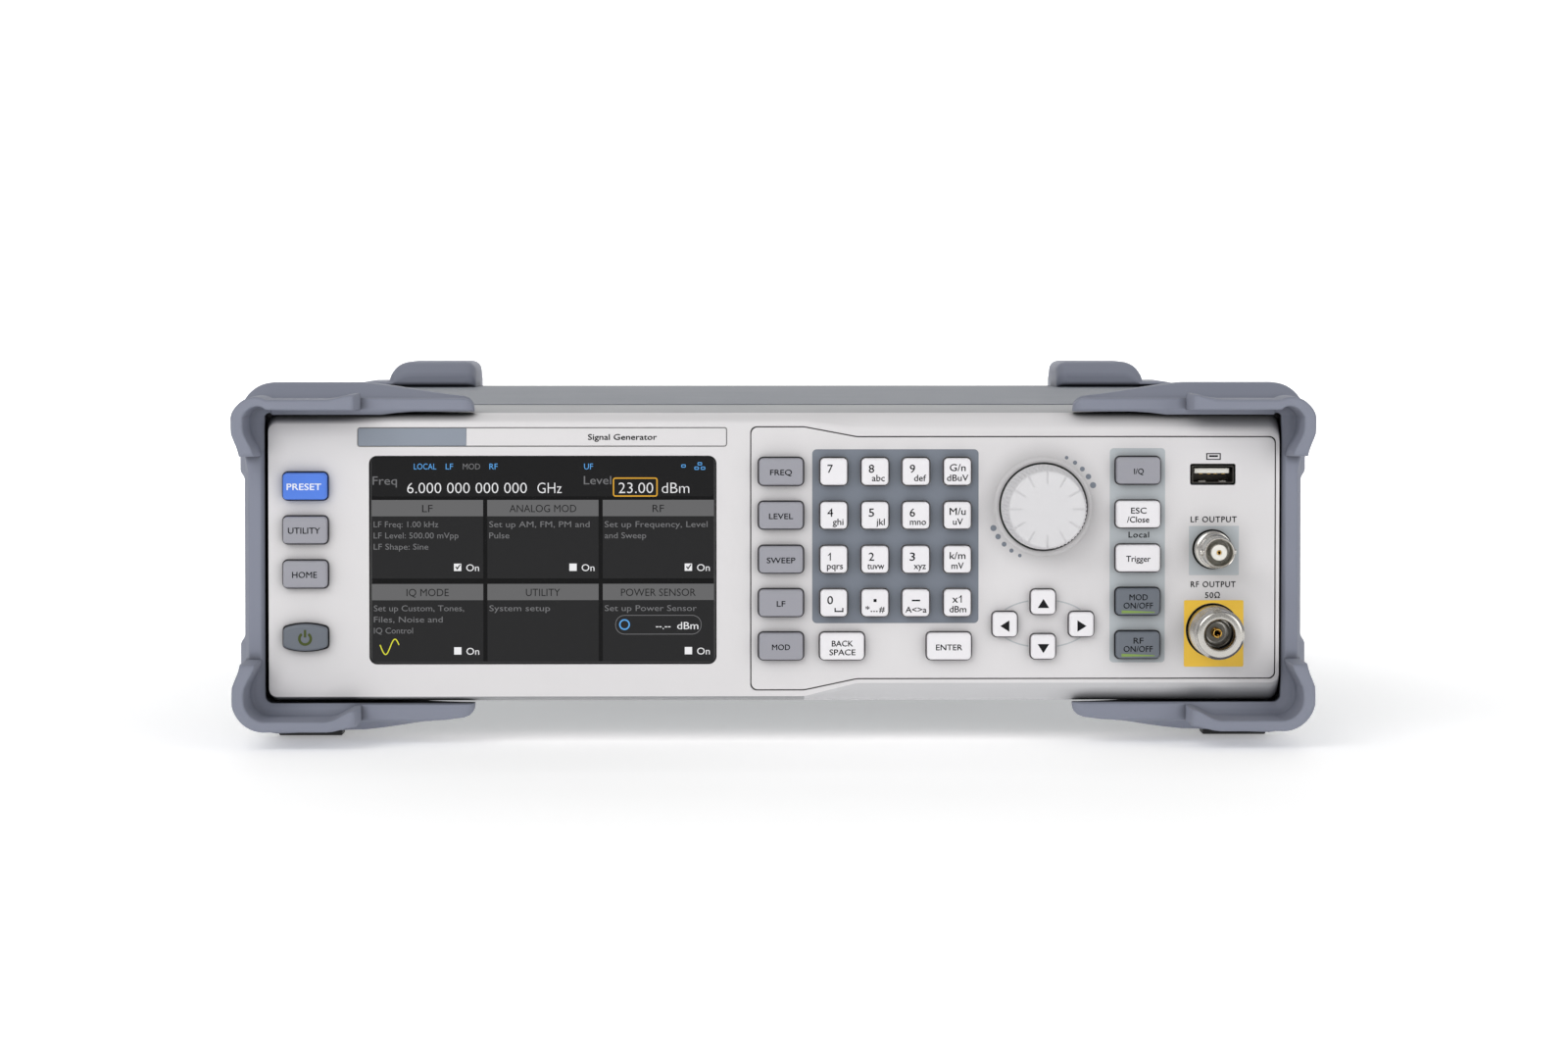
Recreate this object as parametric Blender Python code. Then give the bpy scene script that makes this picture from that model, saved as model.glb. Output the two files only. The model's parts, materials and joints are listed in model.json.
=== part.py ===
"""Bench RF signal generator with a touch display, keypad, tuning knob and connectors.

Metres, +Z up. X runs to the right as seen from the front and the front panel
faces -Y. The origin lies under the middle of the case, on the resting surface.
"""
import math

import bmesh
import bpy
from mathutils import Vector

# ---------------------------------------------------------------- driving sizes
MM = 0.001
FACE_Y = -166.5 * MM            # plane of the front panel
REAR_Y = 168.0 * MM             # plane of the rear panel
SEAM_Y = FACE_Y + 33 * MM       # joint between front panel and sheet metal cover
GAP = 0.4 * MM                  # gap between neighbouring pieces

CASE_HALF = 159.5 * MM          # half width of the sheet metal case
CASE_LOW = 12.6 * MM
CASE_HIGH = 106.0 * MM
SHEET = 1.2 * MM                # sheet metal thickness

PANEL_WALL = 4.5 * MM           # front wall of the panel moulding
PANEL_HALF = 158.4 * MM
SHOULDER = 5 * MM               # depth of the bevel round the panel
STEP_START = 9.5 * MM           # the panel narrows between these two X values
STEP_END = 26.0 * MM

PLATE_THICK = 2.5 * MM
PLATE_LEFT = -7.1 * MM
PLATE_RIGHT = 157.1 * MM

DISPLAY_X = -72.3 * MM
DISPLAY_Z = 58.05 * MM
DISPLAY_SIZE = (108.0 * MM, 64.7 * MM)
DISPLAY_DEPTH = 7.0 * MM

KEY_RISE = 2.7 * MM             # height of a key above the panel
KEY_CORNER = 1.3 * MM
KEY_FLANGE = 1.0 * MM           # retaining rim behind the panel
FLANGE_FRONT = FACE_Y + PANEL_WALL + GAP
FLANGE_BACK = FLANGE_FRONT + 1.1 * MM
BOARD_FRONT = FACE_Y + 7.9 * MM
BOARD_THICK = 1.6 * MM

WIDE_KEY = (13.8 * MM, 8.4 * MM)
SQUARE_KEY = (8.4 * MM, 8.4 * MM)
ARROW_KEY = (7.6 * MM, 7.6 * MM)

KNOB_X = 84.4 * MM
KNOB_Z = 74.7 * MM
KNOB_RADIUS = 13.3 * MM
KNOB_REACH = 16 * MM            # knob front ahead of the panel
KNOB_HOLE = 13.7 * MM
COLLAR_RADIUS = 15.0 * MM
SHAFT_RADIUS = 3.0 * MM

USB_AT = (137.6 * MM, 84.8 * MM)
BNC_AT = (137.5 * MM, 61.3 * MM)
N_AT = (137.7 * MM, 35.9 * MM)
NOSE_Y = FACE_Y - 18 * MM       # front of the two round connectors

INLET_AT = (-112 * MM, 38 * MM)
FAN_AT = (96 * MM, 58 * MM)
FAN_SIZE = 60 * MM
FAN_DEPTH = 20 * MM
FAN_BORE = 28.2 * MM

LEG_X = 148.2 * MM
LEG_WIDTH = 20.4 * MM
LEG_AXIS_Y = -135.5 * MM
LEG_AXIS_Z = 6.0 * MM
LEG_LENGTH = 42 * MM
PIN_RADIUS = 2.0 * MM

WRAP_HALF = 160.1 * MM          # inner contour that the bumpers wrap round
WRAP_LOW = 12.2 * MM
WRAP_HIGH = 106.4 * MM
WRAP_CORNER = 3.2 * MM
EAR_REACH = 16 * MM             # how far the front ears stand ahead of the panel
EAR_TIP_X = 128.5 * MM          # ears start here on the top and bottom stretch
EAR_HIGH_Z = 91.0 * MM          # and end here on the side
EAR_LOW_Z = 26.7 * MM
FRONT_TIP_X = 93.8 * MM         # the bumpers start at these X values
REAR_TIP_X = 115 * MM
SEAM_DEPTH = SEAM_Y - FACE_Y
LIP_LEAN = 9 * MM               # stretch over which an ear swings to its end
SIDE_RELIEF = 1.4 * MM          # how far the side stretch is thinner than its ends
FOOT_RISE = 7.8 * MM            # height of the rear stacking feet above their band
FOOT_SIDE = (141.5 * MM, 148.5 * MM)    # their outer ends fall between these X values

CORNER_STEPS = 2
ROUND_STEPS = 24

COLUMN_KEYS_X = 2.2 * MM
RIGHT_KEYS_X = 114.0 * MM
LEFT_KEYS_X = -146.4 * MM
KEYPAD_X = (18.7 * MM, 31.6 * MM, 44.4 * MM, 57.4 * MM)
ROW_Z = (85.8 * MM, 72.1 * MM, 58.3 * MM, 44.7 * MM, 31.1 * MM)
ARROWS_AT = (84.3 * MM, 37.9 * MM)
ARROW_OUT = (12.0 * MM, 7.0 * MM)

COLOURS = {
    "panel_grey": ((0.66, 0.65, 0.655), 0.5, 0.0),
    "bumper_grey": ((0.21, 0.23, 0.29), 0.75, 0.0),
    "cover_grey": ((0.26, 0.29, 0.33), 0.5, 0.0),
    "key_white": ((0.76, 0.75, 0.78), 0.5, 0.0),
    "key_grey": ((0.34, 0.34, 0.39), 0.5, 0.0),
    "key_dark": ((0.18, 0.2, 0.23), 0.5, 0.0),
    "key_blue": ((0.1, 0.26, 0.83), 0.45, 0.0),
    "glass_black": ((0.01, 0.01, 0.012), 0.1, 0.0),
    "black_plastic": ((0.02, 0.02, 0.022), 0.5, 0.0),
    "bright_metal": ((0.8, 0.79, 0.76), 0.22, 1.0),
    "plain_steel": ((0.55, 0.56, 0.57), 0.4, 1.0),
    "board_green": ((0.03, 0.16, 0.07), 0.5, 0.0),
}


class Zones:
    """One dimension of a bumper, given for its top, side and bottom stretch."""

    def __init__(self, top, side, bottom):
        self.values = (top * MM, side * MM, bottom * MM)

    def at(self, turn):
        """Blend by a turn that is 0 on top, 1 on the side and 2 underneath."""
        low = min(int(turn), 1)
        share = turn - low
        return self.values[low] * (1 - share) + self.values[low + 1] * share


# Offsets of the bumpers' sections from the contour they wrap round.
FRONT_INNER = Zones(-2.9, 0.0, -0.9)
SHOULDER_INNER = Zones(-1.8, 0.0, -0.7)
LIP_INNER = Zones(-1.3, 3.6, 2.8)
LIP_OUTER = Zones(2.2, 7.8, 6.4)
LIP_INNER_END = Zones(-1.3, 0.2, -0.6)
LIP_OUTER_END = Zones(3.8, 5.2, 4.8)
VALLEY = Zones(1.9, 5.6, 5.2)
HUMP = Zones(7.1, 7.9, 9.6)
REAR_HUMP = Zones(1.8, 7.9, 12.2)


# ------------------------------------------------------------- outlines and meshes
def material(name):
    """Return the named Principled material, made once."""
    found = bpy.data.materials.get(name)
    if found:
        return found
    colour, roughness, metallic = COLOURS[name]
    made = bpy.data.materials.new(name)
    made.use_nodes = True
    shader = made.node_tree.nodes["Principled BSDF"]
    shader.inputs["Base Color"].default_value = (*colour, 1.0)
    shader.inputs["Roughness"].default_value = roughness
    shader.inputs["Metallic"].default_value = metallic
    return made


def rounded(corners, radius, steps=CORNER_STEPS):
    """Return the points of a polygon whose corners are arcs of one radius."""
    points = []
    for index, corner in enumerate(corners):
        here = Vector(corner)
        before = (Vector(corners[index - 1]) - here).normalized()
        after = (Vector(corners[(index + 1) % len(corners)]) - here).normalized()
        half = before.angle(after) / 2
        centre = here + (before + after).normalized() * radius / math.sin(half)
        start = here + before * radius / math.tan(half) - centre
        end = here + after * radius / math.tan(half) - centre
        sweep = math.pi - 2 * half
        for step in range(steps + 1):
            share = step / steps
            spoke = (start * math.sin((1 - share) * sweep)
                     + end * math.sin(share * sweep)) / math.sin(sweep)
            points.append(tuple(centre + spoke))
    return points


def rectangle(centre, size, radius=0.0, steps=CORNER_STEPS):
    """Return a rectangle's points, with rounded corners where a radius is given."""
    half_u, half_v = size[0] / 2, size[1] / 2
    u, v = centre
    corners = [(u - half_u, v - half_v), (u + half_u, v - half_v),
               (u + half_u, v + half_v), (u - half_u, v + half_v)]
    return rounded(corners, radius, steps) if radius else corners


def circle(centre, radius, steps=ROUND_STEPS):
    """Return the points of a circle."""
    turns = [2 * math.pi * step / steps for step in range(steps)]
    return [(centre[0] + radius * math.cos(turn), centre[1] + radius * math.sin(turn))
            for turn in turns]


def lift(outline, level, axis="Y"):
    """Place a flat outline at a level along one axis."""
    if axis == "Y":
        return [(u, level, v) for u, v in outline]
    if axis == "Z":
        return [(u, v, level) for u, v in outline]
    return [(level, u, v) for u, v in outline]


def slab(outline, near, far, axis="Y"):
    """Return the rings of a straight extrusion."""
    return [lift(outline, near, axis), lift(outline, far, axis)]


def solid(name, bodies, finish):
    """Make one object from bodies, each a list of rings of equal length."""
    mesh = bmesh.new()
    for rings in bodies:
        rows = [[mesh.verts.new(point) for point in ring] for ring in rings]
        for low, high in zip(rows, rows[1:]):
            for index in range(len(low)):
                follow = (index + 1) % len(low)
                mesh.faces.new((low[index], low[follow], high[follow], high[index]))
        mesh.faces.new(rows[0][::-1])
        mesh.faces.new(rows[-1])
    bmesh.ops.recalc_face_normals(mesh, faces=mesh.faces)
    data = bpy.data.meshes.new(name)
    mesh.to_mesh(data)
    mesh.free()
    data.materials.append(material(finish))
    data.shade_smooth()
    data.set_sharp_from_angle(angle=math.radians(35))
    made = bpy.data.objects.new(name, data)
    bpy.context.scene.collection.objects.link(made)
    return made


def turned(centre, profile, steps=ROUND_STEPS):
    """Return the rings of a body turned about a line along Y, from (radius, y) pairs."""
    return [lift(circle(centre, radius, steps), level) for radius, level in profile]


def apply_shape(target, bodies, operation):
    """Cut from, or join to, an object with a hidden guide solid."""
    guide = solid("guide_" + operation.lower() + "_" + target.name, bodies, "plain_steel")
    guide.hide_render = True
    guide.display_type = "WIRE"
    change = target.modifiers.new(operation.title(), "BOOLEAN")
    change.operation = operation
    change.solver = "EXACT"
    change.object = guide


def set_origin(target, point):
    """Move an object's origin without moving its shape."""
    for vertex in target.data.vertices:
        vertex.co -= Vector(point)
    target.location = point


# -------------------------------------------------------------------- key layout
def key_layout():
    """Return the name, centre, size and finish of every key."""
    keys = []
    left = (("key_preset", 81.3, "key_blue"), ("key_utility", 67.6, "key_grey"),
            ("key_home", 53.8, "key_grey"), ("key_power", 34.0, "key_dark"))
    for name, height, finish in left:
        keys.append((name, (LEFT_KEYS_X, height * MM), WIDE_KEY, finish))
    column = ("key_freq", "key_level", "key_sweep", "key_lf", "key_mod")
    for name, height in zip(column, ROW_Z):
        keys.append((name, (COLUMN_KEYS_X, height), WIDE_KEY, "key_grey"))
    pad = (("key_7", "key_8", "key_9", "key_unit_giga"),
           ("key_4", "key_5", "key_6", "key_unit_mega"),
           ("key_1", "key_2", "key_3", "key_unit_kilo"),
           ("key_0", "key_point", "key_sign", "key_unit_one"))
    for names, height in zip(pad, ROW_Z):
        for name, across in zip(names, KEYPAD_X):
            keys.append((name, (across, height), SQUARE_KEY, "key_white"))
    keys.append(("key_backspace", (21.3 * MM, ROW_Z[4]), WIDE_KEY, "key_white"))
    keys.append(("key_enter", (54.8 * MM, ROW_Z[4]), WIDE_KEY, "key_white"))
    arrows = (("key_up", 0, 1), ("key_left", -1, 0), ("key_right", 1, 0), ("key_down", 0, -1))
    for name, right, up in arrows:
        centre = (ARROWS_AT[0] + right * ARROW_OUT[0], ARROWS_AT[1] + up * ARROW_OUT[1])
        keys.append((name, centre, ARROW_KEY, "key_white"))
    column = (("key_iq", "key_grey"), ("key_escape", "key_white"), ("key_trigger", "key_white"),
              ("key_mod_switch", "key_dark"), ("key_rf_switch", "key_dark"))
    for (name, finish), height in zip(column, ROW_Z):
        keys.append((name, (RIGHT_KEYS_X, height + 0.3 * MM), WIDE_KEY, finish))
    return keys


def key_outline(name, centre, size, grow=0.0):
    """Return a key's outline; the power key has bulging long sides."""
    width, height = size[0] + 2 * grow, size[1] + 2 * grow
    if name != "key_power":
        return rectangle(centre, (width, height), KEY_CORNER + grow)
    side = height / 2 - 1.2 * MM
    points = []
    for sign in (-1, 1):
        for step in range(7):
            across = sign * (step / 3 - 1) * -width / 2
            bulge = side + (height / 2 - side) * (1 - (step / 3 - 1) ** 2)
            points.append((centre[0] + across, centre[1] + sign * bulge))
    return points


def make_key(name, centre, size, finish):
    """Make a key with a softened front edge and a retaining rim behind the panel."""
    edge = 0.5 * MM
    outer = key_outline(name, centre, size)
    rings = [lift(key_outline(name, centre, size, -edge), FACE_Y - KEY_RISE),
             lift(outer, FACE_Y - KEY_RISE + edge),
             lift(outer, FLANGE_FRONT),
             lift(key_outline(name, centre, size, KEY_FLANGE), FLANGE_FRONT),
             lift(key_outline(name, centre, size, KEY_FLANGE), FLANGE_BACK)]
    key = solid(name, [rings], finish)
    set_origin(key, (centre[0], FACE_Y, centre[1]))


# -------------------------------------------------------------- front of the unit
def stepped_outline(left, right, tall, short, radius):
    """Return an outline that is taller to the left of the step than to its right."""
    corners = [(left, tall[0]), (STEP_START, tall[0]), (STEP_END, short[0]), (right, short[0]),
               (right, short[1]), (STEP_END, short[1]), (STEP_START, tall[1]), (left, tall[1])]
    return rounded(corners, radius)


def plate_outline(grow=0.0):
    """Return the outline of the control plate."""
    tall = (17.4 * MM - grow, 99.6 * MM + grow)
    short = (20.9 * MM - grow, 96.5 * MM + grow)
    return stepped_outline(PLATE_LEFT - grow, PLATE_RIGHT + grow, tall, short, 2 * MM)


def make_front_panel():
    """Make the moulded front: a bevelled tray, open behind, with all its openings."""
    face = stepped_outline(-157.7 * MM, PANEL_HALF - 0.6 * MM, (15.3 * MM, 100.9 * MM),
                           (19.4 * MM, 98.0 * MM), 2.5 * MM)
    shoulder = stepped_outline(-PANEL_HALF, PANEL_HALF, (13.6 * MM, 104.0 * MM),
                               (13.59 * MM, 104.01 * MM), 3.5 * MM)
    back = stepped_outline(-CASE_HALF, CASE_HALF, (CASE_LOW, CASE_HIGH - 0.2 * MM),
                           (CASE_LOW - 0.01 * MM, CASE_HIGH - 0.19 * MM), 3.5 * MM)
    rings = [lift(face, FACE_Y), lift(shoulder, FACE_Y + SHOULDER), lift(back, SEAM_Y)]
    panel = solid("front_panel", [rings], "panel_grey")
    cavity = rectangle((0, 59.3 * MM), (311 * MM, 82.5 * MM), 4 * MM)
    cuts = [slab(cavity, FACE_Y + PANEL_WALL, SEAM_Y + 1 * MM)]
    window = rectangle((DISPLAY_X, DISPLAY_Z),
                       (DISPLAY_SIZE[0] + 2 * GAP, DISPLAY_SIZE[1] + 2 * GAP), 2.4 * MM)
    cuts.append(slab(window, FACE_Y - 1 * MM, FACE_Y + PANEL_WALL + 1 * MM))
    apply_shape(panel, cuts[:1], "DIFFERENCE")
    openings = cuts[1:]
    for name, centre, size, _ in key_layout():
        if centre[0] == LEFT_KEYS_X:
            hole = key_outline(name, centre, size, GAP)
            openings.append(slab(hole, FACE_Y - 1 * MM, FACE_Y + PANEL_WALL + 1 * MM))
    apply_shape(panel, openings, "DIFFERENCE")
    pocket = slab(plate_outline(GAP), FACE_Y - 1 * MM, FACE_Y + PLATE_THICK + GAP)
    apply_shape(panel, [pocket], "DIFFERENCE")
    through = rectangle((72.6 * MM, 58.9 * MM), (156.4 * MM, 68 * MM), 2 * MM)
    apply_shape(panel, [slab(through, FACE_Y, FACE_Y + PANEL_WALL + 1 * MM)], "DIFFERENCE")


def make_control_plate():
    """Make the plate that carries the keys, the knob and the front connectors."""
    plate = solid("control_plate", [slab(plate_outline(), FACE_Y, FACE_Y + PLATE_THICK)],
                  "panel_grey")
    collar = turned((KNOB_X, KNOB_Z), [(COLLAR_RADIUS + 0.8 * MM, FACE_Y + 0.5 * MM),
                                       (COLLAR_RADIUS, FACE_Y - 0.9 * MM)], 32)
    apply_shape(plate, [collar], "UNION")
    near, far = FACE_Y - 3 * MM, FACE_Y + PLATE_THICK + 1 * MM
    holes = [slab(circle((KNOB_X, KNOB_Z), KNOB_HOLE, 32), near, far),
             slab(rectangle(USB_AT, (14.2 * MM, 6.6 * MM), 0.8 * MM), near, far),
             slab(circle(BNC_AT, 6.2 * MM), near, far),
             slab(circle(N_AT, 8.35 * MM), near, far)]
    for name, centre, size, _ in key_layout():
        if centre[0] != LEFT_KEYS_X:
            holes.append(slab(key_outline(name, centre, size, GAP), near, far))
    apply_shape(plate, holes, "DIFFERENCE")


def make_display():
    """Make the touch glass bonded to the panel of the display behind it."""
    centre = (DISPLAY_X, DISPLAY_Z)
    wide, tall = DISPLAY_SIZE
    glass = rectangle(centre, DISPLAY_SIZE, 2 * MM)
    panel = rectangle(centre, (wide - 2 * MM, tall - 2 * MM), 2 * MM)
    front = FACE_Y + 0.3 * MM
    rings = [lift(glass, front), lift(glass, front + 1.8 * MM),
             lift(panel, front + 1.8 * MM), lift(panel, front + DISPLAY_DEPTH)]
    solid("display_module", [rings], "glass_black")


def make_knob():
    """Make the tuning knob, its push shaft and the encoder behind the plate."""
    centre = (KNOB_X, KNOB_Z)
    knob = solid("tuning_knob", [turned(centre, [
        (11.9 * MM, FACE_Y - KNOB_REACH), (12.6 * MM, FACE_Y - KNOB_REACH + 0.9 * MM),
        (KNOB_RADIUS, FACE_Y - 1.6 * MM), (KNOB_RADIUS, FACE_Y + 0.6 * MM)], 40)], "panel_grey")
    bore = turned(centre, [(SHAFT_RADIUS + GAP, FACE_Y - 11 * MM),
                           (SHAFT_RADIUS + GAP, FACE_Y + 2 * MM)])
    apply_shape(knob, [bore], "DIFFERENCE")
    set_origin(knob, (KNOB_X, FACE_Y, KNOB_Z))
    shaft = solid("encoder_shaft", [turned(centre, [
        (SHAFT_RADIUS, FACE_Y - 10.5 * MM), (SHAFT_RADIUS, FACE_Y + 6.2 * MM)])], "plain_steel")
    set_origin(shaft, (KNOB_X, FACE_Y, KNOB_Z))
    body = rectangle(centre, (13 * MM, 12 * MM), 1 * MM)
    encoder = solid("encoder_body", [slab(body, FACE_Y + 3.4 * MM, BOARD_FRONT - GAP)],
                    "plain_steel")
    hole = slab(circle(centre, SHAFT_RADIUS + GAP), FACE_Y + 2 * MM, BOARD_FRONT + 1 * MM)
    apply_shape(encoder, [hole], "DIFFERENCE")


def make_usb():
    """Make the USB-A socket: a folded shell with a tongue inside."""
    x, z = USB_AT
    back = FACE_Y + 14 * MM
    shell = solid("usb_socket", [slab(rectangle(USB_AT, (13.3 * MM, 5.7 * MM), 0.5 * MM),
                                      FACE_Y, back)], "bright_metal")
    inside = rectangle(USB_AT, (12.5 * MM, 4.9 * MM), 0.3 * MM)
    apply_shape(shell, [slab(inside, FACE_Y - 1 * MM, back - 2 * MM)], "DIFFERENCE")
    tongue = rectangle((x, z + 1.0 * MM), (11.1 * MM, 1.8 * MM))
    apply_shape(shell, [slab(tongue, FACE_Y + 1.6 * MM, back - 1 * MM)], "UNION")


def make_round_connectors():
    """Make the BNC and the N sockets, each turned with its centre contact."""
    bnc = [(1.0, NOSE_Y + 2.5 * MM), (1.0, NOSE_Y + 1.2 * MM), (2.5, NOSE_Y + 1.2 * MM),
           (2.5, NOSE_Y + 9 * MM), (4.1, NOSE_Y + 9 * MM), (4.1, NOSE_Y),
           (4.8, NOSE_Y), (4.8, FACE_Y - 3.5 * MM), (5.8, FACE_Y - 3.0 * MM),
           (5.8, FACE_Y + 6.5 * MM), (4.2, FACE_Y + 6.5 * MM), (4.2, FACE_Y + 22 * MM)]
    barrel = solid("lf_output_connector",
                   [turned(BNC_AT, [(radius * MM, level) for radius, level in bnc])],
                   "bright_metal")
    apply_shape(barrel, bayonet_lugs(BNC_AT, NOSE_Y + 4.5 * MM, 1.1 * MM), "UNION")
    n_type = [(1.5, NOSE_Y + 6 * MM), (1.5, NOSE_Y + 12 * MM), (4.6, NOSE_Y + 12 * MM),
              (4.6, NOSE_Y), (7.0, NOSE_Y), (7.0, NOSE_Y + 1.2 * MM),
              (7.95, NOSE_Y + 1.8 * MM), (7.95, FACE_Y + 6.5 * MM),
              (5.2, FACE_Y + 6.5 * MM), (5.2, FACE_Y + 24 * MM)]
    solid("rf_output_connector",
          [turned(N_AT, [(radius * MM, level) for radius, level in n_type])], "bright_metal")


def bayonet_lugs(centre, level, radius):
    """Return two short pins that stand out of both sides of a barrel's wall."""
    root, tip = 4.4 * MM, 5.6 * MM
    return [[lift(circle((level, centre[1]), radius, 8), centre[0] + sign * reach, "X")
             for reach in (root, tip)] for sign in (-1, 1)]


# --------------------------------------------------------------- bumpers and feet
def wrap_stations(tip, runs, side_levels):
    """Return (x, z, outward, turn) stations round the left side, top tip to bottom tip."""
    stations = []
    arc = [math.pi / 2 * step / 4 for step in range(5)]
    inner_x = WRAP_HALF - WRAP_CORNER
    top = [(-x, WRAP_HIGH, (0, 1), 0.0) for x in (tip, *runs)]
    stations.extend(top)
    for turn in arc:
        outward = (-math.sin(turn), math.cos(turn))
        centre_z = WRAP_HIGH - WRAP_CORNER
        stations.append((-inner_x + outward[0] * WRAP_CORNER,
                         centre_z + outward[1] * WRAP_CORNER, outward, turn / arc[-1]))
    stations.extend((-WRAP_HALF, z, (-1, 0), 1.0) for z in side_levels)
    for turn in arc:
        outward = (-math.cos(turn), -math.sin(turn))
        centre_z = WRAP_LOW + WRAP_CORNER
        stations.append((-inner_x + outward[0] * WRAP_CORNER,
                         centre_z + outward[1] * WRAP_CORNER, outward, 1 + turn / arc[-1]))
    stations.extend((x, WRAP_LOW, (0, -1), 2.0) for x, _, _, _ in reversed(top))
    return stations


def smooth(value, low, high):
    """Rise from 0 to 1 between two values with level ends."""
    share = max(0.0, min(1.0, (value - low) / (high - low)))
    return share * share * (3 - 2 * share)


def front_section(x, z, turn):
    """Return the (depth, offset) section of a front bumper at one station."""
    on_side = smooth(1 - abs(turn - 1), 0.5, 1.0)
    tip = smooth(-x, FRONT_TIP_X, EAR_TIP_X)
    depth = (8 + 14 * tip) * MM
    depth += 38 * MM * on_side
    in_ear = -x > EAR_TIP_X and (z > EAR_HIGH_Z or z < EAR_LOW_Z)
    reach = EAR_REACH if in_ear else 0.3 * MM
    hump = HUMP.at(turn) - 4.5 * MM * (1 - tip)
    to_end = -x - EAR_TIP_X
    if turn == 1:
        to_end = max(z - EAR_HIGH_Z, EAR_LOW_Z - z)
    lean = 0.0 if turn % 1 else 1 - smooth(to_end, 0, LIP_LEAN)
    lip_in = LIP_INNER.at(turn) * (1 - lean) + LIP_INNER_END.at(turn) * lean
    lip_out = LIP_OUTER.at(turn) * (1 - lean) + LIP_OUTER_END.at(turn) * lean
    lip_out = min(lip_out, hump - 0.3 * MM)
    if turn == 1:
        hump -= SIDE_RELIEF * smooth(min(z - 31 * MM, 86 * MM - z), 0, 3 * MM)
    inner = SHOULDER_INNER.at(turn)
    seam = min(SEAM_DEPTH, depth - 1 * MM)
    seam_inner = inner * (SEAM_DEPTH - seam) / (SEAM_DEPTH - SHOULDER)
    rise = min(9 * MM, 0.62 * depth)
    return [(0, FRONT_INNER.at(turn)), (-0.1 * MM, lip_in),
            (-reach, lip_in + 0.3 * MM), (-reach, lip_out),
            (1.0 * MM, lip_out + 0.2 * MM), (4.0 * MM, min(VALLEY.at(turn), hump - 0.2 * MM)),
            (rise, hump), (depth - 3 * MM, hump), (depth, hump - 3 * MM),
            (depth, seam_inner if depth < SEAM_DEPTH else 0.0), (seam, seam_inner),
            (SHOULDER + 0.5 * MM, inner), (3 * MM, FRONT_INNER.at(turn))]


def rear_section(x, z, turn):
    """Return the (depth, offset) section of a rear bumper, depths behind the rear panel."""
    from_corner = min(z - WRAP_LOW, WRAP_HIGH - z)
    on_side = smooth(from_corner, 14 * MM, 18 * MM)
    lap = 2.6 * MM + 1.4 * MM * smooth(max(from_corner, WRAP_HALF + x), 4 * MM, 10 * MM)
    hump = REAR_HUMP.at(turn)
    if turn < 1:
        hump += FOOT_RISE * (1 - smooth(-x, *FOOT_SIDE))
    reach = (16.5 - 8 * on_side) * MM
    front_slope = min(4.8 * MM, hump - 0.6 * MM)
    back_slope = min(5 * MM, hump + lap - 1 * MM)
    return [(-31 * MM, 0), (-31 * MM, hump - front_slope), (-31 * MM + front_slope, hump),
            (reach - 6 * MM, hump), (reach, hump - back_slope), (reach, -lap),
            (0.6 * MM, -lap), (0.6 * MM, 0)]


def make_bumper(name, stations, section, plane, mirror):
    """Sweep a changing section round one side of the case."""
    rings = []
    for x, z, outward, turn in stations:
        ring = [(mirror * (x + outward[0] * offset), plane + depth, z + outward[1] * offset)
                for depth, offset in section(x, z, turn)]
        rings.append(ring)
    solid(name, [rings], "bumper_grey")


def make_bumpers():
    """Make the four corner bumpers."""
    end = 0.5 * MM
    front = wrap_stations(
        FRONT_TIP_X, (103 * MM, 116 * MM, EAR_TIP_X - end, EAR_TIP_X + end, 145 * MM),
        (EAR_HIGH_Z + end, EAR_HIGH_Z - end, 86 * MM, 83 * MM, 34 * MM, 31 * MM,
         EAR_LOW_Z + end, EAR_LOW_Z - end))
    rear = wrap_stations(REAR_TIP_X,
                         (136 * MM, FOOT_SIDE[0], 144 * MM, 146.2 * MM, FOOT_SIDE[1]),
                         (92 * MM, 88 * MM, 32 * MM, 28 * MM))
    for side, mirror in (("left", 1), ("right", -1)):
        make_bumper("front_bumper_" + side, front, front_section, FACE_Y, mirror)
        make_bumper("rear_bumper_" + side, rear, rear_section, REAR_Y, mirror)


def make_legs():
    """Make the two folding tilt legs, lying folded under the case."""
    y, z = LEG_AXIS_Y, LEG_AXIS_Z
    profile = [(-5.0, -4.2), (-3.4, -6.0), (3.6, -6.0), (8.0, -3.2), (40.0, -3.2), (42.0, -1.5),
               (42.0, 2.6), (8.0, 3.4), (3.0, 5.0), (-2.8, 4.6), (-5.0, 2.0)]
    outline = [(y + across * MM, z + up * MM) for across, up in profile]
    for side, sign in (("left", -1), ("right", 1)):
        near = sign * LEG_X - LEG_WIDTH / 2
        leg = solid("tilt_leg_" + side, [slab(outline, near, near + LEG_WIDTH, "X")],
                    "black_plastic")
        hole = slab(circle((y, z), PIN_RADIUS + GAP, 16), near - 1 * MM,
                    near + LEG_WIDTH + 1 * MM, "X")
        apply_shape(leg, [hole], "DIFFERENCE")
        set_origin(leg, (sign * LEG_X, y, z))


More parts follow.
